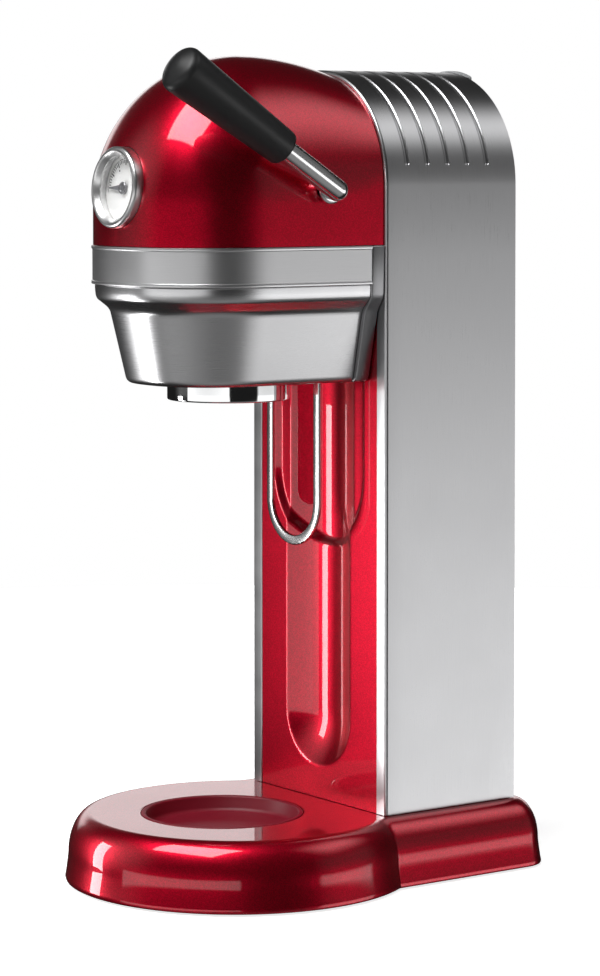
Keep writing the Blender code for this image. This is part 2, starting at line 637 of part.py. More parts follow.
def build_rear_cover():
    """Fold the lift-off rear cover and fit its thumb latch."""
    fit = COLUMN_HALF_WIDTH - SHELL_WALL - GAP
    rear = COLUMN_BACK - 0.0006
    inner = rear - COVER_THICKNESS
    cover = piece("rear_cover", prism(cover_outline(fit, ON_BASE_Z, fit), (0, rear, 0), RIGHT, UP,
                                      COVER_THICKNESS + COVER_RIM), "grey_plastic", COVER)
    fit -= COVER_THICKNESS
    shape_with(cover, prism(cover_outline(fit, ON_BASE_Z + COVER_THICKNESS, fit), (0, inner, 0),
                            RIGHT, UP, COVER_RIM + 0.01), "cover_hollow_tool")
    stem = 0.005
    stem_low = LATCH_BOTTOM_Z + 0.004
    stem_high = stem_low + 0.004
    shape_with(cover, box((-stem - GAP, inner - 0.01, stem_low - LATCH_TRAVEL - GAP),
                          (stem + GAP, rear + 0.01, stem_high + GAP)), "latch_slot_tool")
    front = COLUMN_BACK + GAP
    crown = 0.040
    outline = [(-LATCH_HALF_WIDTH, LATCH_BOTTOM_Z), (LATCH_HALF_WIDTH, LATCH_BOTTOM_Z)]
    half_angle = math.degrees(math.asin(LATCH_HALF_WIDTH / crown))
    outline += arc((0, LATCH_TOP_Z - crown), crown, 90 - half_angle, 90 + half_angle, 12)
    latch = piece("cover_latch", prism(outline, (0, front + LATCH_THICKNESS, 0), RIGHT, UP,
                                       LATCH_THICKNESS), "grey_plastic", LATCH)
    shape_with(latch, box((-stem, inner - 0.002, stem_low), (stem, front + 0.001, stem_high)),
               "latch_stem_tool", "UNION")


# ---------------------------------------------------------------- head

def build_bowl_and_band():
    """Form the bowl under the head, the saddle behind it and the trim band above."""
    levels = bowl_levels()
    bowl = piece("head_bowl", loft([head_plan(-inset, z) for inset, z in levels]),
                 "satin_aluminium", MACHINE)
    floor = BOWL_BOTTOM_Z + BOWL_WALL
    inner = [(0.0155 + BOWL_WALL, floor), (0.0083 + BOWL_WALL, BOWL_BOTTOM_Z + 0.036),
             (0.0083 + BOWL_WALL, BOWL_BOTTOM_Z + 0.0405), (0.0014 + BOWL_WALL, BOWL_TOP_Z - 0.003),
             (0.0014 + BOWL_WALL, BOWL_TOP_Z + 0.01)]
    shape_with(bowl, loft([head_plan(-inset, z, back=BOWL_BACK + 0.02) for inset, z in inner]),
               "bowl_hollow_tool")
    sway = (CRADLE_PIVOT_Z - BOWL_BOTTOM_Z) * math.sin(math.radians(CRADLE_TILT_DEG))
    mouth = COLLAR_RADIUS + sway + 0.0012
    shape_with(bowl, rod(mouth, BOTTLE_AXIS + UP * (floor - 0.02), BOTTLE_AXIS + UP * (floor + 0.01),
                         SEGMENTS),
               "bowl_mouth_tool")
    leg = LOOP_RADIUS + LOOP_BAR_WIDTH / 2 + 0.0018
    shape_with(bowl, box((-leg, LOOP_Y - sway - 0.004, floor - 0.02), (leg, LOOP_Y + 0.005, floor + 0.004)),
               "bowl_slot_tool")

    half = HEAD_HALF_WIDTH
    outline = [(half - inset + (SADDLE_PROUD if z < BOWL_TOP_Z - 0.008 else 0.0008), z)
               for inset, z in levels[:4] + levels[7:9]]
    outline.append((half + 0.0008, BAND_TOP_Z))
    outline = [(-x, z) for x, z in outline[::-1]] + outline
    saddle = piece("head_saddle", prism(outline, (0, HEAD_BACK, 0), RIGHT, UP, SADDLE_DEPTH),
                   "satin_aluminium", MACHINE)
    hollow = [(-half + 0.020, floor), (half - 0.020, floor), (half - 0.012, BOWL_BOTTOM_Z + 0.036),
              (half - 0.004, BOWL_TOP_Z), (half - 0.004, BAND_TOP_Z + 0.01),
              (-half + 0.004, BAND_TOP_Z + 0.01), (-half + 0.004, BOWL_TOP_Z),
              (-half + 0.012, BOWL_BOTTOM_Z + 0.036)]
    shape_with(saddle, prism(hollow, (0, HEAD_BACK + 0.01, 0), RIGHT, UP, SADDLE_DEPTH + 0.02),
               "saddle_opening_tool")

    stations = []
    plan = head_plan(0.0, 0.0)
    for i, point in enumerate(plan):
        ahead = (plan[min(i + 1, len(plan) - 1)] - plan[max(i - 1, 0)]).normalized()
        outward = Vector((ahead.y, -ahead.x, 0.0))
        if i == 0 or i == len(plan) - 1:
            outward = Vector((math.copysign(1.0, point.x), 0.0, 0.0))
        stations.append((point, outward, UP))
    lip = 0.0016
    low = BAND_BOTTOM_Z
    high = BAND_TOP_Z
    section = [(-BAND_WALL, low), (BAND_PROUD - 0.0003, low), (BAND_PROUD, low + 0.0004),
               (BAND_PROUD, low + lip), (BAND_PROUD - 0.0005, low + lip + 0.0003),
               (BAND_PROUD - 0.0005, high - lip - 0.0003), (BAND_PROUD, high - lip),
               (BAND_PROUD, high - 0.0004), (BAND_PROUD - 0.0003, high), (-BAND_WALL, high)]
    piece("trim_band", sweep(stations, section), "brushed_steel", MACHINE)


def dome_surface(inset, low, back, rows=12):
    """Return the dome as a closed solid that is inset from the real one all round."""
    half = HEAD_HALF_WIDTH - inset
    rise = DOME_TOP_Z - DOME_SIDE_TOP_Z - inset
    rear_radius = COLUMN_HALF_WIDTH - DOME_REAR_INSET - inset
    front_points = head_plan(-inset, 0.0)[1:-1]
    rear_steps = 6
    rings = []
    for k in range(-1, rows + 1):
        angle = math.pi / 2 * max(k, 0) / rows
        c = math.cos(angle) if k < rows else 0.0
        s = math.sin(angle)
        z = low if k < 0 else DOME_SIDE_TOP_Z + rise * s
        row = []
        for side in (-1, 1):
            rear = []
            for i in range(1, rear_steps + 1):
                t = i / rear_steps
                y = DOME_CROWN_Y + (back - DOME_CROWN_Y) * t
                t = min(1.0, (y - DOME_CROWN_Y) / (HEAD_BACK - DOME_CROWN_Y))
                blend = t * t * (3 - 2 * t)
                rear_z = low if k < 0 else ARCH_SPRING_Z + rear_radius * s
                x = (half + (rear_radius - half) * blend) * c
                rear.append(Vector((side * x, y, z + (rear_z - z) * blend)))
            middle = [Vector((side * half * c, DOME_CROWN_Y, z))]
            if side < 0:
                row += rear[::-1] + middle
                for point in front_points:
                    y = DOME_CROWN_Y + (point.y - DOME_CROWN_Y) * c
                    row.append(Vector((point.x * c, y, z)))
            else:
                row += middle + rear
        rings.append(row)
    bm = bmesh.new()
    grid = [[bm.verts.new(point) for point in row] for row in rings]
    for lower, upper in zip(grid, grid[1:]):
        for i in range(len(lower) - 1):
            bm.faces.new((lower[i], lower[i + 1], upper[i + 1], upper[i]))
    bm.faces.new(grid[0])
    bm.faces.new([row[0] for row in grid] + [row[-1] for row in reversed(grid[:-1])])
    bmesh.ops.remove_doubles(bm, verts=bm.verts, dist=1e-6)
    bmesh.ops.dissolve_degenerate(bm, edges=bm.edges, dist=1e-7)
    return bm


def build_dome():
    """Press the domed head cover, with holes for the gauge and the lever's shaft."""
    dome = piece("head_dome", dome_surface(0.0, DOME_BOTTOM_Z, HEAD_BACK), "red_enamel", MACHINE)
    shape_with(dome, dome_surface(DOME_WALL, DOME_BOTTOM_Z - 0.02, HEAD_BACK + 0.02),
               "dome_hollow_tool")
    shape_with(dome, rod(BEZEL_RADIUS + GAP, GAUGE_ORIGIN - GAUGE_NORMAL * 0.03,
                         GAUGE_ORIGIN + GAUGE_NORMAL * 0.03, SEGMENTS), "gauge_hole_tool")
    shape_with(dome, rod(SHAFT_RADIUS + 0.0010, LEVER_AXIS + RIGHT * 0.04, LEVER_AXIS + RIGHT * 0.08),
               "shaft_hole_tool")


def build_gauge():
    """Assemble the pressure gauge: housing, dial, needle, lens and bezel."""
    seat = DIAL_RADIUS + GAP
    profile = [(BEZEL_RADIUS, -BEZEL_DEPTH), (BEZEL_RADIUS, -0.0016), (BEZEL_RADIUS - 0.0006, -0.0005),
               (BEZEL_RADIUS - 0.0018, 0.0), (BEZEL_RADIUS - 0.0030, -0.0005),
               (BEZEL_OPENING, -0.0026), (BEZEL_OPENING, -0.0031), (seat, -0.0031),
               (seat, -BEZEL_DEPTH)]
    piece("gauge_bezel", turned(profile, GAUGE_ORIGIN, GAUGE_NORMAL), "chrome", MACHINE)
    profile = [(0, -0.0044), (DIAL_RADIUS, -0.0044), (DIAL_RADIUS, -0.0034), (0, -0.0034)]
    piece("gauge_lens", turned(profile, GAUGE_ORIGIN, GAUGE_NORMAL), "clear_lens", MACHINE)
    spindle = 0.0008
    profile = [(spindle + GAP, -0.0085), (DIAL_RADIUS, -0.0085), (DIAL_RADIUS, -0.0077),
               (spindle + GAP, -0.0077)]
    piece("gauge_dial", turned(profile, GAUGE_ORIGIN, GAUGE_NORMAL), "dial_white", MACHINE)
    profile = [(0, -0.022), (DIAL_RADIUS, -0.022), (DIAL_RADIUS, -0.0088), (DIAL_RADIUS - 0.0015, -0.0088),
               (DIAL_RADIUS - 0.0015, -0.0205), (0, -0.0205)]
    piece("gauge_housing", turned(profile, GAUGE_ORIGIN, GAUGE_NORMAL), "zinc_steel", MACHINE)

    back = -0.0071
    front = -0.0060
    hub = 0.0032
    profile = [(0, -0.0120), (spindle, -0.0120), (spindle, back), (hub, back), (hub, front - 0.0003),
               (hub - 0.0004, front), (0, front)]
    needle = piece("gauge_needle", turned(profile, GAUGE_ORIGIN, GAUGE_NORMAL, 24), "needle_grey", NEEDLE)
    upward = GAUGE_NORMAL.cross(RIGHT)
    outline = [(-NEEDLE_LENGTH, -0.0002), (0.0, -0.0018), (0.0, 0.0018), (-NEEDLE_LENGTH, 0.0002)]
    shape_with(needle, prism(outline, GAUGE_ORIGIN + GAUGE_NORMAL * (back + 0.0002), RIGHT, upward,
                             0.0006), "needle_blade_tool", "UNION")


# ---------------------------------------------------------------- inner frame, lever and valve

def build_inner_frame():
    """Fold the head's floor, the lever's two side plates, their bushes and the pushrod's guide."""
    floor = piece("head_floor", box((-FRAME_HALF_WIDTH, HEAD_FLOOR_FRONT, HEAD_FLOOR_Z),
                                    (FRAME_HALF_WIDTH, HEAD_FLOOR_BACK, HEAD_FLOOR_Z + SHEET)),
                  "zinc_steel", MACHINE)
    shape_with(floor, rod(TUBE_RADIUS + 0.0015, BOTTLE_AXIS + UP * (HEAD_FLOOR_Z - 0.01),
                          BOTTLE_AXIS + UP * (HEAD_FLOOR_Z + 0.01)), "floor_bore_tool")
    low = HEAD_FLOOR_Z + SHEET + GAP
    for label, side in (("left", -1), ("right", 1)):
        outline = [(-0.004, low), (HEAD_FLOOR_BACK, low), (HEAD_FLOOR_BACK, VALVE_BOTTOM_Z - 0.004),
                   (VALVE_BACK, VALVE_BOTTOM_Z - 0.004), (VALVE_BACK, LEVER_FRAME_TOP_Z),
                   (0.004, LEVER_FRAME_TOP_Z), (-0.004, LEVER_FRAME_TOP_Z - 0.008)]
        x = FRAME_HALF_WIDTH - SHEET if side > 0 else -FRAME_HALF_WIDTH
        plate = piece("lever_frame_" + label, prism(outline, (x, 0, 0), BACK, UP, SHEET),
                      "zinc_steel", MACHINE)
        bush = SHAFT_RADIUS + 0.0020
        shape_with(plate, rod(bush + GAP, LEVER_AXIS + RIGHT * (x - 0.01), LEVER_AXIS + RIGHT * (x + 0.01),
                              24), "bush_hole_tool_" + label)
        profile = [(SHAFT_RADIUS + GAP, 0.0), (bush + 0.002, 0.0), (bush + 0.002, 0.0015),
                   (bush, 0.0015), (bush, 0.0015 + SHEET + 2 * GAP + 0.001),
                   (SHAFT_RADIUS + GAP, 0.0015 + SHEET + 2 * GAP + 0.001)]
        start = side * (FRAME_HALF_WIDTH - SHEET - GAP - 0.0015)
        piece("lever_bush_" + label, turned(profile, LEVER_AXIS + RIGHT * start, RIGHT * side, 24),
              "nylon", MACHINE)
    inside = FRAME_HALF_WIDTH - SHEET - GAP
    guide = piece("pushrod_guide", box((-inside, 0.050, LEVER_PIVOT_Z - 0.007),
                                       (inside, 0.056, LEVER_PIVOT_Z + 0.0055)), "nylon", MACHINE)
    axis = Vector((0, 0, LEVER_PIVOT_Z))
    shape_with(guide, rod(PUSHROD_RADIUS + GAP, axis + BACK * 0.04, axis + BACK * 0.07), "guide_bore_tool")
    block = piece("valve_block", box((-inside, VALVE_FRONT, VALVE_BOTTOM_Z),
                                     (inside, VALVE_BACK, VALVE_TOP_Z)), "brass", MACHINE)
    shape_with(block, rod(PUSHROD_RADIUS + GAP, axis + BACK * (VALVE_FRONT - 0.01),
                          axis + BACK * (VALVE_FRONT + 0.0085)), "block_bore_tool")
    socket = (0, CYLINDER_AXIS_Y, VALVE_BOTTOM_Z - 0.01)
    shape_with(block, rod(VALVE_STEM_RADIUS + GAP, socket, (0, CYLINDER_AXIS_Y, VALVE_BOTTOM_Z + 0.010),
                          32), "block_socket_tool")


def build_lever():
    """Build the carbonating lever: shaft, arm, grip and the cam inside the head."""
    piece("lever_shaft", rod(SHAFT_RADIUS, LEVER_AXIS - RIGHT * 0.033, LEVER_AXIS + RIGHT * LEVER_PLANE_X,
                             24), "chrome", LEVER)
    hub = LEVER_AXIS + RIGHT * LEVER_PLANE_X
    knuckle = ROD_RADIUS
    profile = [(0, -knuckle)]
    for i in range(1, 6):
        angle = math.radians(-90 + 90 * i / 5)
        profile.append((knuckle * math.cos(angle), knuckle * math.sin(angle)))
    profile += [(ROD_RADIUS, GRIP_START + 0.022), (0, GRIP_START + 0.022)]
    arm = piece("lever_arm", turned(profile, hub, LEVER_DIRECTION, 24), "chrome", LEVER)
    near = HEAD_HALF_WIDTH + 0.0012
    flare = LEVER_PLANE_X - ROD_RADIUS * 0.8
    profile = [(0, near), (HUB_NECK_RADIUS, near), (HUB_RADIUS - 0.0012, flare - 0.0008),
               (HUB_RADIUS, flare), (HUB_RADIUS - 0.0008, flare + 0.0010), (0, flare + 0.0014)]
    shape_with(arm, turned(profile, LEVER_AXIS, RIGHT, 28), "arm_hub_tool", "UNION")
    shape_with(arm, rod(SHAFT_RADIUS + GAP, LEVER_AXIS + RIGHT * 0.05, hub + RIGHT * GAP, 24),
               "arm_bore_tool")

    bore = ROD_RADIUS + GAP
    end = GRIP_START + GRIP_LENGTH
    round_in = 0.0022
    round_out = 0.0070
    profile = [(0, GRIP_START + 0.024), (bore, GRIP_START + 0.024), (bore, GRIP_START),
               (GRIP_RADIUS_INNER - round_in, GRIP_START)]
    profile += arc((GRIP_RADIUS_INNER - round_in, GRIP_START + round_in), round_in, -60, 0, 2)
    for i in range(6):
        angle = math.radians(90 * i / 5)
        profile.append((GRIP_RADIUS_OUTER - 0.0045 + 0.0045 * math.cos(angle),
                        end - round_out + 0.0045 * math.sin(angle)))
    profile += [(GRIP_RADIUS_OUTER * 0.35, end - 0.0008), (0, end)]
    piece("lever_grip", turned(profile, hub, LEVER_DIRECTION, 32), "black_grip", LEVER)

    outline = []
    steps = 36
    for i in range(steps):
        angle = -math.tau * i / steps
        turn = -math.degrees(angle)
        if turn <= 50:
            radius = CAM_BASE_RADIUS + PUSHROD_TRAVEL * turn / LEVER_TRAVEL_DEG
        else:
            full = CAM_BASE_RADIUS + PUSHROD_TRAVEL * 50 / LEVER_TRAVEL_DEG
            fall = min(1.0, (turn - 50) / 130)
            radius = full + (CAM_BASE_RADIUS - full) * fall
        outline.append((radius * math.cos(angle), radius * math.sin(angle)))
    half = 0.004
    cam = piece("lever_cam", prism(outline, LEVER_AXIS - RIGHT * half, BACK, UP, 2 * half),
                "zinc_steel", LEVER)
    shape_with(cam, rod(SHAFT_RADIUS + GAP, LEVER_AXIS - RIGHT * 0.01, LEVER_AXIS + RIGHT * 0.01, 24),
               "cam_bore_tool")

    tip = PUSHROD_FRONT
    profile = [(0, 0)]
    for i in range(1, 6):
        angle = math.radians(90 * i / 5)
        profile.append((PUSHROD_RADIUS * math.sin(angle), PUSHROD_RADIUS * (1 - math.cos(angle))))
    length = VALVE_FRONT + 0.0045 - tip
    profile += [(PUSHROD_RADIUS, length), (0, length)]
    piece("valve_pushrod", turned(profile, (0, tip, LEVER_PIVOT_Z), BACK, 24), "zinc_steel", PUSHROD)


def build_gas_tube():
    """Bend the gas tube from the valve block forward and down to the nozzle's socket."""
    x = 0.014
    high = LEVER_PIVOT_Z + 0.0095
    bend = 0.010
    y = BOTTLE_Y
    points = [(x, VALVE_FRONT - GAP, high), (x, 0.070, high), (x, 0.040, high), (x, y + bend, high)]
    for i in range(1, 6):
        angle = math.radians(90 * i / 5)
        points.append((x - x * 0.2 * i / 5, y + bend - bend * math.sin(angle),
                       high - bend * (1 - math.cos(angle))))
    points += [(x * 0.5, y, high - 0.022), (x * 0.15, y, high - 0.034), (0.0, y, high - 0.044),
               (0.0, y, HEAD_FLOOR_Z), (0.0, y, 0.2998)]
    piece("gas_tube", tube(points, TUBE_RADIUS), "nylon", MACHINE)
    profile = [(0, 0.2995), (0.0090, 0.2995), (0.0090, 0.2860), (0.0075, 0.2860), (0.0075, 0.2975),
               (0, 0.2975)]
    piece("nozzle_socket", turned(profile, BOTTLE_AXIS, segments=24), "nylon", MACHINE)


# ---------------------------------------------------------------- bottle cradle

def build_cradle():
    """Build the tilting bottle cradle: collar, seal, nozzle, yoke, pins, brackets and loop."""
    under = YOKE_BOTTOM_Z - GAP
    top = under - 0.0032
    low = COLLAR_BOTTOM_Z
    edge = 0.0008
    profile = [(COLLAR_RADIUS - edge, low), (COLLAR_RADIUS, low + edge), (COLLAR_RADIUS, under),
               (NOZZLE_RADIUS + GAP, under), (NOZZLE_RADIUS + GAP, top), (BOTTLE_NECK_RADIUS, top),
               (BOTTLE_NECK_RADIUS, low + 0.002), (BOTTLE_NECK_RADIUS + 0.002, low)]
    piece("locking_collar", turned(profile, BOTTLE_AXIS), "chrome", CRADLE)
    flange = BOTTLE_NECK_RADIUS - 0.002
    seal = top - GAP - 0.002 - GAP
    profile = [(0, low + 0.002), (NOZZLE_RADIUS - 0.0006, low + 0.002), (NOZZLE_RADIUS, low + 0.004),
               (NOZZLE_RADIUS, seal + GAP), (flange, seal + GAP), (flange, top - GAP),
               (NOZZLE_RADIUS, top - GAP), (NOZZLE_RADIUS, 0.293), (0, 0.293)]
    piece("gas_nozzle", turned(profile, BOTTLE_AXIS, segments=24), "nylon", CRADLE)
    profile = [(NOZZLE_RADIUS + 0.003, seal - 0.004), (flange, seal - 0.004), (flange, seal),
               (NOZZLE_RADIUS + 0.003, seal)]
    piece("bottle_seal", turned(profile, BOTTLE_AXIS, segments=24), "black_rubber", CRADLE)

    arm = LOOP_RADIUS + LOOP_BAR_WIDTH / 2 + 0.0006
    disc = BRACKET_X - 0.006
    corner = math.degrees(math.acos(arm / disc))
    outline = arc((0, BOTTLE_Y), disc, 180 - corner, 360 + corner, 32)
    outline += [(arm, LOOP_Y + 0.0032), (-arm, LOOP_Y + 0.0032)]
    yoke = piece("cradle_yoke", prism(outline, (0, 0, YOKE_BOTTOM_Z), RIGHT, BACK, YOKE_THICKNESS),
                 "zinc_steel", CRADLE)
    shape_with(yoke, rod(NOZZLE_RADIUS + GAP, BOTTLE_AXIS + UP * (under - 0.01),
                         BOTTLE_AXIS + UP * (under + 0.01)), "yoke_bore_tool")
    pin = 0.0022
    for label, side in (("left", -1), ("right", 1)):
        outer = side * (disc - 0.0006)
        inner = side * (disc - 0.0066)
        shape_with(yoke, box((min(outer, inner), BOTTLE_Y - 0.005, YOKE_BOTTOM_Z + 0.001),
                             (max(outer, inner), BOTTLE_Y + 0.005, CRADLE_PIVOT_Z + 0.0048)),
                   "yoke_ear_tool_" + label, "UNION")
        shape_with(yoke, rod(pin + GAP, CRADLE_AXIS + RIGHT * side * (disc - 0.010),
                             CRADLE_AXIS + RIGHT * side * (disc + 0.004)), "yoke_pin_bore_tool_" + label)
        piece("cradle_pin_" + label, rod(pin, CRADLE_AXIS + RIGHT * side * (disc - 0.0075),
                                         CRADLE_AXIS + RIGHT * side * (BRACKET_X + 0.0028)),
              "zinc_steel", CRADLE)
        x = BRACKET_X if side > 0 else -BRACKET_X - SHEET
        outline = [(-0.006, CRADLE_PIVOT_Z - 0.005), (0.006, CRADLE_PIVOT_Z - 0.005),
                   (0.008, HEAD_FLOOR_Z + SHEET), (-0.008, HEAD_FLOOR_Z + SHEET)]
        bracket = piece("cradle_bracket_" + label, prism(outline, (x, BOTTLE_Y, 0), BACK, UP, SHEET),
                        "zinc_steel", MACHINE)
        inner_x = side * (FRAME_HALF_WIDTH + GAP)
        outer_x = side * (BRACKET_X + SHEET * 0.5)
        shape_with(bracket, box((min(inner_x, outer_x), BOTTLE_Y - 0.0070, HEAD_FLOOR_Z),
                                (max(inner_x, outer_x), BOTTLE_Y + 0.0070, HEAD_FLOOR_Z + SHEET * 0.9)),
                   "bracket_foot_tool_" + label, "UNION")
        shape_with(bracket, rod(pin + GAP, CRADLE_AXIS + RIGHT * side * (BRACKET_X - 0.003),
                                CRADLE_AXIS + RIGHT * side * (BRACKET_X + 0.006)),
                   "bracket_bore_tool_" + label)

    half = LOOP_BAR_WIDTH / 2
    thin = LOOP_BAR_THICKNESS / 2
    ease = 0.0006
    section = [(-half + ease, -thin), (half - ease, -thin), (half, -thin + ease), (half, thin - ease),
               (half - ease, thin), (ease - half, thin), (-half, thin - ease), (-half, -thin + ease)]
    stations = [(Vector((-LOOP_RADIUS, LOOP_Y, under)), -RIGHT, BACK)]
    for i in range(21):
        angle = math.pi + math.pi * i / 20
        outward = Vector((math.cos(angle), 0.0, math.sin(angle)))
        centre = Vector((0.0, LOOP_Y, LOOP_CENTRE_Z)) + outward * LOOP_RADIUS
        stations.append((centre, outward, BACK))
    stations.append((Vector((LOOP_RADIUS, LOOP_Y, under)), RIGHT, BACK))
    piece("bottle_loop", sweep(stations, section), "chrome", CRADLE)


clear_scene()
MACHINE = empty("machine", (0.0, DISH_AXIS_Y, 0.0))
LEVER = empty("lever_axis", LEVER_AXIS, MACHINE)
PUSHROD = empty("pushrod_axis", (0.0, PUSHROD_FRONT, LEVER_PIVOT_Z), MACHINE)
NEEDLE = empty("needle_axis", GAUGE_ORIGIN, MACHINE)
CRADLE = empty("cradle_axis", CRADLE_AXIS, MACHINE)
CYLINDER = empty("cylinder_axis", CYLINDER_AXIS, MACHINE)
COVER = empty("cover_way", (0.0, COLUMN_BACK, ON_BASE_Z), MACHINE)
LATCH = empty("latch_way", (0.0, COLUMN_BACK, LATCH_TOP_Z), MACHINE)
DISH = empty("dish_way", (0.0, 0.0, DISH_FLOOR_Z), MACHINE)

build_base()
build_shell()
build_panel()
build_column_frame()
build_cylinder()
build_rear_cover()
build_bowl_and_band()
build_dome()
build_gauge()
build_inner_frame()
build_lever()
build_gas_tube()
build_cradle()
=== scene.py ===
"""Looks of the soda carbonator: every visible piece, its finish, the studio and the camera.

Sizes are in metres, with +Z up.  Lengths along Y are measured from the dish's middle, as on the
drawing, and each piece is moved to the frame's origin when it is finished.
"""

import json
import logging
import math
from dataclasses import dataclass, field
from enum import Enum
from typing import Callable, ClassVar, Dict, List, Optional, Sequence, Tuple

import bmesh
import bpy
from mathutils import Matrix, Vector


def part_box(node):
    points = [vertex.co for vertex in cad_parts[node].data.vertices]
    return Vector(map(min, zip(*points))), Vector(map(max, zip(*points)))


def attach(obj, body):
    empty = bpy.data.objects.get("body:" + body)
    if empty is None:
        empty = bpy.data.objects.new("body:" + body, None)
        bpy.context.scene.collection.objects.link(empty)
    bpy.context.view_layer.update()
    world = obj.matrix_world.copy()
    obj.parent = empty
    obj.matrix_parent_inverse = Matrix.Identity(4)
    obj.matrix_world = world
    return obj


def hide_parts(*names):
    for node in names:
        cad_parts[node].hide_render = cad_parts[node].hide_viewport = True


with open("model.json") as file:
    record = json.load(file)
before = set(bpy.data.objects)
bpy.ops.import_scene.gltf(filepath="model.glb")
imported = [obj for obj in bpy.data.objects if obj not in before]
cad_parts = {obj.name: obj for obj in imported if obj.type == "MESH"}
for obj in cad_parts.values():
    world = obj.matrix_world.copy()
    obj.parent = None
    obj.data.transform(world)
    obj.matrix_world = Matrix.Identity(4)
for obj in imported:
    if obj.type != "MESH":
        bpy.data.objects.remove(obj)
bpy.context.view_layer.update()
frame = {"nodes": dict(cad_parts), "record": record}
LOG = logging.getLogger("soda_carbonator")

Ring = List[Vector]
Colour = Tuple[float, float, float]

UP = Vector((0.0, 0.0, 1.0))
RIGHT = Vector((1.0, 0.0, 0.0))
BACK = Vector((0.0, 1.0, 0.0))
GAP = 0.0003
MERGE = 0.000002
NOISE_SPAN = (0.25, 0.75)


def middle_of(node: str) -> Vector:
    """Return the middle of a CAD node's box."""
    low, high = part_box(node)
    return (low + high) / 2


DISH_SHIFT = Vector((0.0, middle_of("drip_dish").y, 0.0))


class Body(Enum):
    """The moving bodies that pieces ride on."""

    MACHINE = "machine"
    LEVER = "lever"
    NEEDLE = "needle"
    CRADLE = "cradle"
    COVER = "cover"
    LATCH = "latch"
    DISH = "dish"


class Ends(Enum):
    """How a skin ends at its first and last rings."""

    CAPPED = "capped"
    JOINED = "joined"
    POLES = "poles"
    OPEN = "open"


# ---------------------------------------------------------------- shader groups


def socket(group: bpy.types.NodeTree, name: str, kind: str, output: bool, value: float = 0.0) -> None:
    """Add one socket to a shader group.

    Args:
        group: The group's node tree.
        name: The socket's name.
        kind: "Float", "Vector" or "Color".
        output: True for an output.
        value: A float input's starting value.
    """
    way = "OUTPUT" if output else "INPUT"
    made = group.interface.new_socket(name, in_out=way, socket_type="NodeSocket" + kind)
    if kind == "Float" and not output:
        made.default_value = value


def spread(node: bpy.types.Node, source: Tuple[float, float], target: Tuple[float, float]) -> bpy.types.Node:
    """Set a Map Range node's two ranges.

    Args:
        node: The Map Range node.
        source: The values that come in, from low to high.
        target: The values that go out for them.

    Returns:
        The node.
    """
    node.inputs["From Min"].default_value, node.inputs["From Max"].default_value = source
    node.inputs["To Min"].default_value, node.inputs["To Max"].default_value = target
    return node


class Group:
    """A shader group that is built once and placed in every material that wants it."""

    name: ClassVar[str] = "group"
    inputs: ClassVar[Dict[str, float]] = {}
    outputs: ClassVar[Sequence[str]] = ("Value",)

    @classmethod
    def tree(cls) -> bpy.types.NodeTree:
        """Return the group's tree, building it the first time."""
        found = bpy.data.node_groups.get(cls.name)
        if found:
            return found
        group = bpy.data.node_groups.new(cls.name, "ShaderNodeTree")
        socket(group, "Vector", "Vector", False)
        for name, value in cls.inputs.items():
            socket(group, name, "Float", False, value)
        for name in cls.outputs:
            socket(group, name, "Float", True)
        entry = group.nodes.new("NodeGroupInput")
        leave = group.nodes.new("NodeGroupOutput")
        cls.fill(group, entry, leave)
        return group

    @classmethod
    def fill(cls, group: bpy.types.NodeTree, entry: bpy.types.Node, leave: bpy.types.Node) -> None:
        """Build the group's own nodes; each kind of group does this its own way."""
        raise NotImplementedError

    @staticmethod
    def maths(group: bpy.types.NodeTree, operation: str, first: object, second: object) -> object:
        """Join two values, each a socket or a number, and return the result's socket."""
        node = group.nodes.new("ShaderNodeMath")
        node.operation = operation
        for slot_index, value in enumerate((first, second)):
            if isinstance(value, (int, float)):
                node.inputs[slot_index].default_value = value
            else:
                group.links.new(value, node.inputs[slot_index])
        return node.outputs[0]

    @staticmethod
    def noise(group: bpy.types.NodeTree, vector: object, scale: object, detail: float,
              roughness: float = 0.55) -> object:
        """Add a noise texture and return its value's socket."""
        node = group.nodes.new("ShaderNodeTexNoise")
        node.inputs["Detail"].default_value = detail
        node.inputs["Roughness"].default_value = roughness
        group.links.new(vector, node.inputs["Vector"])
        if isinstance(scale, (int, float)):
            node.inputs["Scale"].default_value = scale
        else:
            group.links.new(scale, node.inputs["Scale"])
        return node.outputs[0]


class BrushGroup(Group):
    """Fine lines along a surface's X and a slow unevenness over them."""

    name = "brushed_lines"
    inputs = {"Lines": 9000.0, "Run": 60.0, "Cloud": 25.0}
    outputs = ("Lines", "Cloud")

    @classmethod
    def fill(cls, group: bpy.types.NodeTree, entry: bpy.types.Node, leave: bpy.types.Node) -> None:
        """Stretch one noise along X, and leave another round."""
        parts = group.nodes.new("ShaderNodeSeparateXYZ")
        group.links.new(entry.outputs["Vector"], parts.inputs[0])
        joined = group.nodes.new("ShaderNodeCombineXYZ")
        for axis, scale in enumerate(("Run", "Lines", "Lines")):
            scaled = cls.maths(group, "MULTIPLY", parts.outputs[axis], entry.outputs[scale])
            group.links.new(scaled, joined.inputs[axis])
        lines = cls.noise(group, joined.outputs[0], 1.0, 3.0)
        group.links.new(lines, leave.inputs["Lines"])
        cloud = cls.noise(group, entry.outputs["Vector"], entry.outputs["Cloud"], 4.0)
        group.links.new(cloud, leave.inputs["Cloud"])


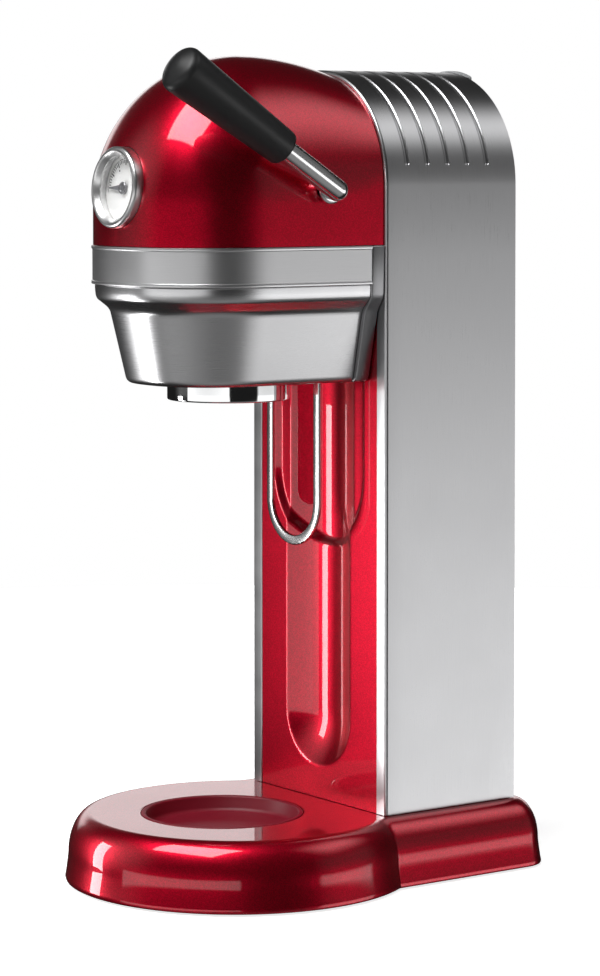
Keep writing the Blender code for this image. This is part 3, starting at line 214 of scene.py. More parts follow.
class FlakeGroup(Group):
    """Metal flakes in paint: a tone for each flake and a slow cloud."""

    name = "metal_flakes"
    inputs = {"Flakes": 2600.0, "Cloud": 18.0}
    outputs = ("Tone", "Height", "Cloud")

    @classmethod
    def fill(cls, group: bpy.types.NodeTree, entry: bpy.types.Node, leave: bpy.types.Node) -> None:
        """Give each small cell its own tone and height."""
        cells = group.nodes.new("ShaderNodeTexVoronoi")
        cells.feature = "F1"
        group.links.new(entry.outputs["Vector"], cells.inputs["Vector"])
        group.links.new(entry.outputs["Flakes"], cells.inputs["Scale"])
        tone = group.nodes.new("ShaderNodeSeparateColor")
        group.links.new(cells.outputs["Color"], tone.inputs[0])
        group.links.new(tone.outputs[0], leave.inputs["Tone"])
        group.links.new(cls.maths(group, "MULTIPLY", tone.outputs[1], cells.outputs["Distance"]),
                        leave.inputs["Height"])
        cloud = cls.noise(group, entry.outputs["Vector"], entry.outputs["Cloud"], 3.0)
        group.links.new(cloud, leave.inputs["Cloud"])


class GrainGroup(Group):
    """The fine even grain of a moulded or cast surface, with slow smudges over it."""

    name = "fine_grain"
    inputs = {"Grain": 3500.0, "Smudge": 40.0}
    outputs = ("Grain", "Smudge")

    @classmethod
    def fill(cls, group: bpy.types.NodeTree, entry: bpy.types.Node, leave: bpy.types.Node) -> None:
        """Put a fine noise and a slow one side by side."""
        grain = cls.noise(group, entry.outputs["Vector"], entry.outputs["Grain"], 2.0, 0.6)
        group.links.new(grain, leave.inputs["Grain"])
        smudge = cls.noise(group, entry.outputs["Vector"], entry.outputs["Smudge"], 5.0, 0.6)
        group.links.new(smudge, leave.inputs["Smudge"])


class WearGroup(Group):
    """A mask of the edges that hands and cloths rub, broken up by noise."""

    name = "edge_wear"
    inputs = {"Break": 220.0, "Low": 0.53, "High": 0.60}
    outputs = ("Mask",)

    @classmethod
    def fill(cls, group: bpy.types.NodeTree, entry: bpy.types.Node, leave: bpy.types.Node) -> None:
        """Pick out the sharp edges and break them up."""
        geometry = group.nodes.new("ShaderNodeNewGeometry")
        span = group.nodes.new("ShaderNodeMapRange")
        group.links.new(geometry.outputs["Pointiness"], span.inputs["Value"])
        group.links.new(entry.outputs["Low"], span.inputs["From Min"])
        group.links.new(entry.outputs["High"], span.inputs["From Max"])
        broken = cls.noise(group, entry.outputs["Vector"], entry.outputs["Break"], 4.0)
        group.links.new(cls.maths(group, "MULTIPLY", span.outputs[0], broken), leave.inputs["Mask"])


# ---------------------------------------------------------------- finishes


def lighter(colour: Colour, share: float, lift: float = 0.0) -> Colour:
    """Return a colour times a share, with a lift added."""
    return tuple(min(1.0, c * share + lift) for c in colour)


@dataclass(frozen=True)
class Finish:
    """A surface finish; material() gives its shader."""

    slot: str
    colour: Colour
    roughness: float
    metallic: float = 0.0
    flow: bool = False
    seed: float = 0.0

    def material(self) -> bpy.types.Material:
        """Return the finish's material, building it the first time."""
        name = "finish_%s_%d" % (self.slot, round(self.seed))
        found = bpy.data.materials.get(name)
        if found:
            return found
        material = bpy.data.materials.new(name)
        material.use_nodes = True
        tree = material.node_tree
        shader = tree.nodes["Principled BSDF"]
        shader.inputs["Base Color"].default_value = (*self.colour, 1.0)
        shader.inputs["Roughness"].default_value = self.roughness
        shader.inputs["Metallic"].default_value = self.metallic
        self.wire(tree, shader, self.coordinates(tree))
        return material

    def coordinates(self, tree: bpy.types.NodeTree) -> object:
        """Return the socket with the surface's coordinates, offset so that no two pieces match."""
        mapping = tree.nodes.new("ShaderNodeMapping")
        mapping.inputs["Location"].default_value = (self.seed, self.seed * 0.7, self.seed * 0.3)
        if self.flow:
            source = tree.nodes.new("ShaderNodeAttribute")
            source.attribute_name = "flow"
            tree.links.new(source.outputs["Vector"], mapping.inputs["Vector"])
        else:
            source = tree.nodes.new("ShaderNodeTexCoord")
            tree.links.new(source.outputs["Object"], mapping.inputs["Vector"])
        return mapping.outputs["Vector"]

    def wire(self, tree: bpy.types.NodeTree, shader: bpy.types.Node, vector: object) -> None:
        """Join the finish's own pattern to its shader; each kind does this its own way."""
        raise NotImplementedError

    @staticmethod
    def place(tree: bpy.types.NodeTree, group: type, vector: object, **values: float) -> bpy.types.Node:
        """Place a shader group with its own values.

        Args:
            tree: The material's tree.
            group: The Group class.
            vector: The coordinates' socket.
            **values: The group's inputs by name.

        Returns:
            The group's node.
        """
        node = tree.nodes.new("ShaderNodeGroup")
        node.node_tree = group.tree()
        tree.links.new(vector, node.inputs["Vector"])
        for name, value in values.items():
            node.inputs[name].default_value = value
        return node

    @staticmethod
    def ramp(tree: bpy.types.NodeTree, value: object, low: float, high: float) -> object:
        """Stretch a 0 to 1 value to a range and return the socket."""
        node = spread(tree.nodes.new("ShaderNodeMapRange"), NOISE_SPAN, (low, high))
        tree.links.new(value, node.inputs["Value"])
        return node.outputs[0]

    @staticmethod
    def tint(tree: bpy.types.NodeTree, mask: object, first: Colour, second: Colour) -> object:
        """Blend two colours by a mask and return the socket."""
        node = tree.nodes.new("ShaderNodeMix")
        node.data_type = "RGBA"
        node.inputs[6].default_value = (*first, 1.0)
        node.inputs[7].default_value = (*second, 1.0)
        tree.links.new(mask, node.inputs[0])
        return node.outputs[2]

    @staticmethod
    def wear_over(tree: bpy.types.NodeTree, shader: bpy.types.Node, wear: bpy.types.Node, tone: object,
                  rubbed: Colour) -> None:
        """Lay the rubbed edges' colour over the surface's own.

        Args:
            tree: The material's tree.
            shader: The shader that takes the colour.
            wear: The wear group's node.
            tone: The socket with the surface's own colour.
            rubbed: The edges' colour.
        """
        worn = tree.nodes.new("ShaderNodeMix")
        worn.data_type = "RGBA"
        worn.inputs[7].default_value = (*rubbed, 1.0)
        tree.links.new(wear.outputs["Mask"], worn.inputs[0])
        tree.links.new(tone, worn.inputs[6])
        tree.links.new(worn.outputs[2], shader.inputs["Base Color"])

    @staticmethod
    def bump(tree: bpy.types.NodeTree, shader: bpy.types.Node, height: object, strength: float,
             distance: float) -> None:
        """Give the shader a bump.

        Args:
            tree: The material's tree.
            shader: The shader that takes the bump.
            height: The socket with the height.
            strength: How much of the bump shows.
            distance: How deep the height goes.
        """
        node = tree.nodes.new("ShaderNodeBump")
        node.inputs["Strength"].default_value = strength
        node.inputs["Distance"].default_value = distance
        tree.links.new(height, node.inputs["Height"])
        tree.links.new(node.outputs["Normal"], shader.inputs["Normal"])


@dataclass(frozen=True)
class Enamel(Finish):
    """Metal-flake paint under a clear lacquer."""

    deep: Colour = (0.2, 0.0, 0.01)
    flake: float = 0.08

    def wire(self, tree: bpy.types.NodeTree, shader: bpy.types.Node, vector: object) -> None:
        """Mix the flakes' tones, and lay the lacquer on top."""
        flakes = self.place(tree, FlakeGroup, vector)
        wear = self.place(tree, WearGroup, vector, Low=0.56, High=0.72)
        tone = self.ramp(tree, flakes.outputs["Tone"], 0.0, 1.0)
        painted = self.tint(tree, tone, self.deep, self.colour)
        self.wear_over(tree, shader, wear, painted, lighter(self.colour, 1.25, 0.004))
        rough = self.ramp(tree, flakes.outputs["Cloud"], self.roughness - 0.02, self.roughness + 0.02)
        tree.links.new(rough, shader.inputs["Roughness"])
        self.bump(tree, shader, flakes.outputs["Height"], self.flake, 0.0002)
        shader.inputs["Coat Weight"].default_value = 1.0
        shader.inputs["Coat Roughness"].default_value = 0.018
        shader.inputs["Coat IOR"].default_value = 1.52


@dataclass(frozen=True)
class Brushed(Finish):
    """Metal with fine lines along the piece."""

    lines: float = 9000.0
    run: float = 60.0
    depth: float = 0.12

    def wire(self, tree: bpy.types.NodeTree, shader: bpy.types.Node, vector: object) -> None:
        """Let the lines change the tone, the roughness and the height."""
        brush = self.place(tree, BrushGroup, vector, Lines=self.lines, Run=self.run)
        wear = self.place(tree, WearGroup, vector, Low=0.54, High=0.66)
        dark = lighter(self.colour, 0.90)
        tone = self.tint(tree, self.ramp(tree, brush.outputs["Lines"], 0.0, 1.0), dark, self.colour)
        self.wear_over(tree, shader, wear, tone, lighter(self.colour, 1.25))
        low = self.ramp(tree, brush.outputs["Cloud"], self.roughness - 0.012, self.roughness + 0.012)
        extra = Group.maths(tree, "MULTIPLY", self.ramp(tree, brush.outputs["Lines"], 0.0, 1.0), 0.05)
        tree.links.new(Group.maths(tree, "ADD", low, extra), shader.inputs["Roughness"])
        self.bump(tree, shader, brush.outputs["Lines"], self.depth, 0.00005)


@dataclass(frozen=True)
class Polished(Finish):
    """Plated metal with faint wiping marks."""

    def wire(self, tree: bpy.types.NodeTree, shader: bpy.types.Node, vector: object) -> None:
        """Let slow smudges dull the polish a little, and edges show a rub."""
        grain = self.place(tree, GrainGroup, vector, Grain=1800.0, Smudge=70.0)
        wear = self.place(tree, WearGroup, vector)
        dark = lighter(self.colour, 0.95)
        tree.links.new(self.tint(tree, grain.outputs["Smudge"], dark, self.colour),
                       shader.inputs["Base Color"])
        rough = self.ramp(tree, grain.outputs["Smudge"], self.roughness, self.roughness + 0.035)
        rub = Group.maths(tree, "MULTIPLY", wear.outputs["Mask"], 0.06)
        tree.links.new(Group.maths(tree, "ADD", rough, rub), shader.inputs["Roughness"])
        self.bump(tree, shader, grain.outputs["Grain"], 0.012, 0.00005)


@dataclass(frozen=True)
class Moulded(Finish):
    """Moulded plastic, rubber, card or dull paint with a fine grain."""

    grain: float = 3500.0
    depth: float = 0.15
    worn: float = 1.5

    def wire(self, tree: bpy.types.NodeTree, shader: bpy.types.Node, vector: object) -> None:
        """Let the grain roughen the surface, and edges wear lighter."""
        grain = self.place(tree, GrainGroup, vector, Grain=self.grain)
        wear = self.place(tree, WearGroup, vector, Low=0.55, High=0.70)
        dark = lighter(self.colour, 0.88)
        tone = self.tint(tree, grain.outputs["Smudge"], dark, self.colour)
        self.wear_over(tree, shader, wear, tone, lighter(self.colour, self.worn, 0.004))
        rough = self.ramp(tree, grain.outputs["Smudge"], self.roughness - 0.04, self.roughness + 0.05)
        tree.links.new(rough, shader.inputs["Roughness"])
        self.bump(tree, shader, grain.outputs["Grain"], self.depth, 0.00006)


@dataclass(frozen=True)
class Clear(Finish):
    """Clear glass with the faintest wiping marks."""

    def wire(self, tree: bpy.types.NodeTree, shader: bpy.types.Node, vector: object) -> None:
        """Make the shader glass, and dull it a little here and there."""
        shader.inputs["Transmission Weight"].default_value = 1.0
        shader.inputs["IOR"].default_value = 1.20
        grain = self.place(tree, GrainGroup, vector, Smudge=120.0)
        tree.links.new(self.ramp(tree, grain.outputs["Smudge"], 0.0, 0.02), shader.inputs["Roughness"])


RED_ENAMEL = Enamel("red_enamel", (0.68, 0.0006, 0.026), 0.34, 0.90, deep=(0.46, 0.0003, 0.016))
DISH_RED = Moulded("dark_red_plastic", (0.21, 0.0010, 0.014), 0.50, grain=2600.0)
SHELL_STEEL = Brushed("brushed_steel", (0.60, 0.60, 0.61), 0.27, 1.0, flow=True)
BAND_STEEL = Brushed("brushed_steel", (0.88, 0.88, 0.89), 0.33, 1.0, flow=True, seed=3.0, depth=0.08)
BOWL_ALUMINIUM = Brushed("satin_aluminium", (0.72, 0.72, 0.73), 0.26, 1.0, flow=True, seed=5.0, depth=0.05)
SADDLE_ALUMINIUM = Brushed("satin_aluminium", (0.38, 0.38, 0.39), 0.34, 1.0, seed=6.0, depth=0.05)
CHROME = Polished("chrome", (0.86, 0.865, 0.87), 0.045, 1.0)
BEZEL_CHROME = Polished("chrome", (0.92, 0.92, 0.92), 0.30, 1.0, seed=9.0)
SATIN_CHROME = Polished("chrome", (0.90, 0.90, 0.90), 0.16, 1.0, seed=8.0)
BLACK_GRIP = Moulded("black_grip", (0.016, 0.0165, 0.017), 0.40, grain=2400.0, depth=0.10, worn=2.0)
GREY_PLASTIC = Moulded("grey_plastic", (0.42, 0.43, 0.44), 0.42)
DIAL_WHITE = Moulded("dial_white", (0.86, 0.86, 0.85), 0.55, grain=5000.0, depth=0.05, worn=1.0)
DIAL_INK = Moulded("needle_grey", (0.035, 0.035, 0.037), 0.55, seed=2.0, depth=0.05)
NEEDLE_GREY = Moulded("needle_grey", (0.11, 0.11, 0.12), 0.35, depth=0.05)
NEEDLE_HUB = Moulded("needle_grey", (0.24, 0.24, 0.25), 0.30, 0.6, seed=4.0, depth=0.05)
LENS_CLEAR = Clear("clear_lens", (1.0, 1.0, 1.0), 0.0)
BLACK_RUBBER = Moulded("black_rubber", (0.018, 0.018, 0.018), 0.75, grain=1800.0, depth=0.3)
ZINC_STEEL = Brushed("zinc_steel", (0.50, 0.50, 0.52), 0.38, 1.0, lines=4000.0, run=400.0)
BRASS = Brushed("brass", (0.62, 0.43, 0.17), 0.28, 1.0, lines=6000.0, run=200.0)
CYLINDER_PAINT = Moulded("cylinder_enamel", (0.30, 0.32, 0.34), 0.35, 0.5, depth=0.08)
NYLON = Moulded("nylon", (0.72, 0.72, 0.70), 0.48)


# ---------------------------------------------------------------- modelling bench


def rest() -> None:
    """Leave edit mode and select nothing."""
    if bpy.context.object and bpy.context.object.mode != "OBJECT":
        bpy.ops.object.mode_set(mode="OBJECT")
    bpy.ops.object.select_all(action="DESELECT")


def pick(obj: bpy.types.Object) -> None:
    """Select one object alone and make it active."""
    rest()
    obj.select_set(True)
    bpy.context.view_layer.objects.active = obj


class Bench:
    """Shapes one skin: a circle of corners is set out, then extruded from ring to ring."""

    def __init__(self, name: str, ring: Sequence[Vector], closed: bool = True) -> None:
        """Set out the first ring.

        Args:
            name: The object's name.
            ring: The first ring's corners.
            closed: False for a ring with a way in, such as a half outline.
        """
        rest()
        bpy.ops.mesh.primitive_circle_add(vertices=len(ring), radius=0.01, enter_editmode=True)
        self.obj = bpy.context.active_object
        self.obj.name = name
        self.obj.data.name = name
        self.row = list(range(len(ring)))
        if not closed:
            bm = bmesh.from_edit_mesh(self.obj.data)
            bm.verts.ensure_lookup_table()
            first, last = bm.verts[0], bm.verts[len(ring) - 1]
            for edge in list(first.link_edges):
                if edge.other_vert(first) is last:
                    bm.edges.remove(edge)
            bmesh.update_edit_mesh(self.obj.data)
        bpy.ops.mesh.select_all(action="SELECT")
        self.put(ring)

    def put(self, ring: Sequence[Vector]) -> None:
        """Move the last ring's corners to their places."""
        bm = bmesh.from_edit_mesh(self.obj.data)
        bm.verts.ensure_lookup_table()
        for index, point in zip(self.row, ring):
            bm.verts[index].co = point
        bmesh.update_edit_mesh(self.obj.data)

    def extrude(self, ring: Sequence[Vector]) -> None:
        """Extrude the last ring to a new one."""
        bpy.ops.mesh.extrude_edges_move()
        bm = bmesh.from_edit_mesh(self.obj.data)
        bm.verts.ensure_lookup_table()
        row = []
        for index in self.row:
            vert = bm.verts[index]
            row.append(next(edge.other_vert(vert).index for edge in vert.link_edges
                            if edge.other_vert(vert).select))
        self.row = row
        self.put(ring)

    def cap(self, row: Sequence[int]) -> None:
        """Fill the ring of these corners with one flat face."""
        bpy.ops.mesh.select_all(action="DESELECT")
        bm = bmesh.from_edit_mesh(self.obj.data)
        bm.verts.ensure_lookup_table()
        for index in row:
            bm.verts[index].select = True
        bm.select_flush(True)
        bmesh.update_edit_mesh(self.obj.data)
        bpy.ops.mesh.edge_face_add()

    def close(self) -> bpy.types.Object:
        """Merge what meets, face outwards and leave edit mode."""
        bpy.ops.mesh.select_all(action="SELECT")
        bpy.ops.mesh.remove_doubles(threshold=MERGE)
        bpy.ops.mesh.dissolve_degenerate(threshold=MERGE / 4)
        bpy.ops.mesh.select_all(action="SELECT")
        bpy.ops.mesh.normals_make_consistent(inside=False)
        bpy.ops.object.mode_set(mode="OBJECT")
        return self.obj


def skin(name: str, rings: Sequence[Sequence[Vector]], ends: Ends = Ends.CAPPED,
         closed: bool = True) -> bpy.types.Object:
    """Build a skin through rings with the same number of corners.

    Args:
        name: The object's name.
        rings: The rings, in order.
        ends: How the skin ends.
        closed: False where each ring has a way in.

    Returns:
        The new object.
    """
    bench = Bench(name, rings[0], closed)
    first = list(bench.row)
    for ring in rings[1:]:
        bench.extrude(ring)
    if ends is Ends.JOINED:
        bench.extrude(rings[0])
    last = list(bench.row)
    if ends is Ends.CAPPED:
        bench.cap(last)
        bench.cap(first)
    return bench.close()


def facing(direction: Vector) -> Matrix:
    """Return the turn that carries +Z to a direction."""
    return direction.to_track_quat("Z", "Y").to_matrix().to_4x4()


def turned(name: str, profile: Sequence[Tuple[float, float]], origin: Vector = Vector(),
           direction: Vector = UP, sides: int = 96) -> bpy.types.Object:
    """Turn a profile of (radius, height) about an axis.

    Args:
        name: The object's name.
        profile: The outline; one that starts and ends off the axis is joined to itself.
        origin: The axis's foot.
        direction: The axis's way.
        sides: How many sides the round has.

    Returns:
        The new object.
    """
    placing = Matrix.Translation(origin) @ facing(direction)
    rings = []
    for radius, height in profile:
        rings.append([placing @ Vector((radius * math.cos(math.tau * i / sides),
                                        radius * math.sin(math.tau * i / sides), height))
                      for i in range(sides)])
    hollow = profile[0][0] > MERGE and profile[-1][0] > MERGE
    return skin(name, rings, Ends.JOINED if hollow else Ends.POLES)


def slab(name: str, outline: Sequence[Tuple[float, float]], origin: Vector, across: Vector,
         along: Vector, depth: float) -> bpy.types.Object:
    """Extrude a flat outline of (across, along) points by a depth."""
    normal = across.cross(along)
    base = [origin + across * u + along * v for u, v in outline]
    return skin(name, [base, [point + normal * depth for point in base]])


def block(name: str, low: Sequence[float], high: Sequence[float]) -> bpy.types.Object:
    """Return a block between two corners."""
    outline = [(low[0], low[1]), (high[0], low[1]), (high[0], high[1]), (low[0], high[1])]
    return slab(name, outline, Vector((0, 0, low[2])), RIGHT, BACK, high[2] - low[2])


def apply(obj: bpy.types.Object, modifier: bpy.types.Modifier) -> None:
    """Apply one modifier."""
    pick(obj)
    bpy.ops.object.modifier_apply(modifier=modifier.name)


def combine(obj: bpy.types.Object, tool: bpy.types.Object, operation: str = "DIFFERENCE") -> None:
    """Cut a tool out of a piece, or join it on, and take the tool away."""
    modifier = obj.modifiers.new("combine", "BOOLEAN")
    modifier.operation = operation
    modifier.solver = "EXACT"
    modifier.object = tool
    apply(obj, modifier)
    bpy.data.objects.remove(tool, do_unlink=True)


def soften(obj: bpy.types.Object, width: float, steps: int = 3, angle: float = 35.0) -> None:
    """Round the edges that are sharper than an angle."""
    modifier = obj.modifiers.new("soften", "BEVEL")
    modifier.width = width
    modifier.segments = steps
    modifier.limit_method = "ANGLE"
    modifier.angle_limit = math.radians(angle)
    modifier.use_clamp_overlap = True
    apply(obj, modifier)


def thicken(obj: bpy.types.Object, wall: float, outward_at: Vector) -> None:
    """Give an open skin a wall on its inner side.

    Args:
        obj: The open skin.
        wall: The wall's thickness.
        outward_at: A point inside the form, which outer faces look away from.
    """
    lean = sum((face.center - outward_at).dot(face.normal) * face.area for face in obj.data.polygons)
    if lean < 0:
        obj.data.flip_normals()
    modifier = obj.modifiers.new("wall", "SOLIDIFY")
    modifier.thickness = wall
    modifier.offset = -1.0
    apply(obj, modifier)


def flow(obj: bpy.types.Object, rule: Callable[[Vector], Tuple[float, float]]) -> None:
    """Store how far each corner lies along and across the grain."""
    made = obj.data.attributes.new("flow", "FLOAT_VECTOR", "POINT")
    for vert in obj.data.vertices:
        along, across = rule(vert.co)
        made.data[vert.index].vector = (along, across, 0.0)


def finished(obj: bpy.types.Object, finish: Finish, body: Body, nodes: Sequence[str],
             smooth: float = 30.0) -> bpy.types.Object:
    """Dress a piece, put it in the frame and hide the drawn nodes that it stands for.

    Args:
        obj: The piece, in the drawing's place.
        finish: Its finish.
        body: The body that it rides on.
        nodes: The CAD nodes that it stands for.
        smooth: The sharpest angle, in degrees, that still looks round.

    Returns:
        The piece.
    """
    obj.data.transform(Matrix.Translation(DISH_SHIFT))
    pick(obj)
    bpy.ops.object.shade_smooth_by_angle(angle=math.radians(smooth))
    if not obj.data.materials:
        obj.data.materials.append(finish.material())
    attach(obj, body.value)
    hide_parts(*nodes)
    LOG.info("%s: %d faces", obj.name, len(obj.data.polygons))
    return obj


def arc(centre: Tuple[float, float], radius: float, start: float, end: float,
        steps: int) -> List[Tuple[float, float]]:
    """Return points on an arc in a plane, with angles in degrees."""
    points = []
    for i in range(steps + 1):
        angle = math.radians(start + (end - start) * i / steps)
        points.append((centre[0] + radius * math.cos(angle), centre[1] + radius * math.sin(angle)))
    return points


def curve_through(points: Sequence[Tuple[float, float]], steps: int) -> List[Tuple[float, float]]:
    """Return a smooth line through points, with steps pieces between each two."""
    ends = [points[0], *points, points[-1]]
    made = []
    for a, b, c, d in zip(ends, ends[1:], ends[2:], ends[3:]):
        for i in range(steps):
            t = i / steps
            made.append(tuple(0.5 * (2 * q + (r - p) * t + (2 * p - 5 * q + 4 * r - s) * t * t
                                     + (3 * q - p - 3 * r + s) * t ** 3)
                              for p, q, r, s in zip(a, b, c, d)))
    made.append(tuple(points[-1]))
    return made


# ---------------------------------------------------------------- base


@dataclass
class Base:
    """The keyhole-shaped foot and its lift-out dish."""

    height: float = 0.035
    wall: float = 0.003
    clearance: float = 0.0012
    ring_radius: float = 0.0758
    ring_centre: float = 0.010
    flare: float = 0.0131
    shoulder_out: float = 0.0115
    shoulder_drop: float = 0.0205
    half_width: float = 0.0615
    back: float = 0.1480
    rear_lean: float = 0.82
    corner: float = 0.009
    fillet: float = 0.0165
    dish_radius: float = 0.0415
    pocket: float = 0.009
    dish_wall: float = 0.0016

    def keyhole(self, growth: float, z: float) -> Ring:
        """Return the foot's outline, grown by a distance, at a height."""
        radius = self.ring_radius + growth
        half = self.half_width + growth
        hollow = self.fillet - growth
        reach = radius + hollow
        side = half + hollow
        level = self.ring_centre + math.sqrt(reach * reach - side * side)
        turn = math.degrees(math.atan2(level - self.ring_centre, side))
        back = self.back + growth * self.rear_lean
        corner = self.corner + growth * 0.5
        right = arc((0.0, self.ring_centre), radius, -90, turn, 56)
        right += arc((side, level), hollow, 180 + turn, 180, 8)[1:]
        for i in range(1, 5):
            right.append((half, level + (back - corner - level) * i / 5))
        right += arc((half - corner, back - corner), corner, 0, 90, 10)
        for i in range(1, 4):
            right.append(((half - corner) * (1 - i / 4), back))
        left = [(-x, y) for x, y in right[:0:-1]]
        return [Vector((x, y, z)) for x, y in right + [(0.0, back)] + left]

    def round_hole(self, radius: float, z: float) -> Ring:
        """Return a circle about the dish's middle with a corner in line with each of the outline's."""
        ring = []
        for point in self.keyhole(0.0, z):
            angle = math.atan2(point.y, point.x)
            ring.append(Vector((radius * math.cos(angle), radius * math.sin(angle), z)))
        return ring

    def skirt(self) -> List[Tuple[float, float]]:
        """Return the outer wall as (growth, height), from the floor edge to the flat top."""
        low = self.clearance
        levels = [(self.flare - 0.0009, low), (self.flare - 0.0003, low + 0.0003), (self.flare, low + 0.0012)]
        top = self.height - self.shoulder_drop
        for i in range(1, 9):
            t = 1 - i / 8
            levels.append((self.shoulder_out + (self.flare - self.shoulder_out) * t ** 1.25,
                           low + 0.0012 + (top - low - 0.0012) * i / 8))
        for i in range(1, 17):
            angle = math.radians(90 * i / 16)
            levels.append((self.shoulder_out * math.cos(angle), top + self.shoulder_drop * math.sin(angle)))
        return levels

    def casting(self) -> None:
        """Build the enamelled casting, from the middle of its underside round to its pocket."""
        top = self.height
        floor = top - self.pocket - GAP
        hole = self.dish_radius + GAP
        outer = hole + self.dish_wall
        rings = [self.round_hole(0.0, floor - self.dish_wall), self.round_hole(outer, floor - self.dish_wall),
                 self.round_hole(outer, top - self.wall),
                 self.keyhole(-self.wall, top - self.wall),
                 self.keyhole(self.shoulder_out - self.wall, top - self.shoulder_drop),
                 self.keyhole(self.flare - self.wall, self.clearance + 0.0004),
                 self.keyhole(self.flare - self.wall + 0.0004, self.clearance)]
        rings += [self.keyhole(growth, z) for growth, z in self.skirt()]
        rings += [self.keyhole(-0.0005, top), self.keyhole(-0.0012, top)]
        rings += [self.round_hole(hole + 0.0012, top), self.round_hole(hole + 0.0005, top),
                  self.round_hole(hole + 0.0001, top - 0.0002), self.round_hole(hole, top - 0.0006),
                  self.round_hole(hole, floor + 0.0006), self.round_hole(hole - 0.0006, floor),
                  self.round_hole(0.0, floor)]
        finished(skin("base_enamelled_casting", rings, Ends.POLES), RED_ENAMEL, Body.MACHINE,
                 ["base_casting"], 40)

    def dish(self) -> None:
        """Turn the lift-out dish."""
        radius = self.dish_radius
        bottom = self.height - self.pocket
        rim = self.height + 0.0002
        floor = bottom + self.dish_wall
        profile = [(0.0, bottom), (radius - 0.0030, bottom)]
        profile += arc((radius - 0.0030, bottom + 0.0030), 0.0030, -90, 0, 6)[1:]
        profile += [(radius, rim - 0.0007)]
        profile += arc((radius - 0.0007, rim - 0.0007), 0.0007, 0, 90, 5)[1:]
        profile += arc((radius - 0.0014, rim - 0.0010), 0.0010, 90, 170, 6)
        profile += [(radius - 0.0030, rim - 0.0036), (radius - 0.0036, floor + 0.0026)]
        profile += arc((radius - 0.0064, floor + 0.0028), 0.0028, 0, -90, 6)[1:]
        profile += [(radius - 0.0100, floor), (0.0, floor)]
        finished(turned("dish_turned", profile, sides=128), DISH_RED, Body.DISH, ["drip_dish"], 40)

    def build(self) -> None:
        """Build the casting and the dish."""
        self.casting()
        self.dish()


# ---------------------------------------------------------------- column


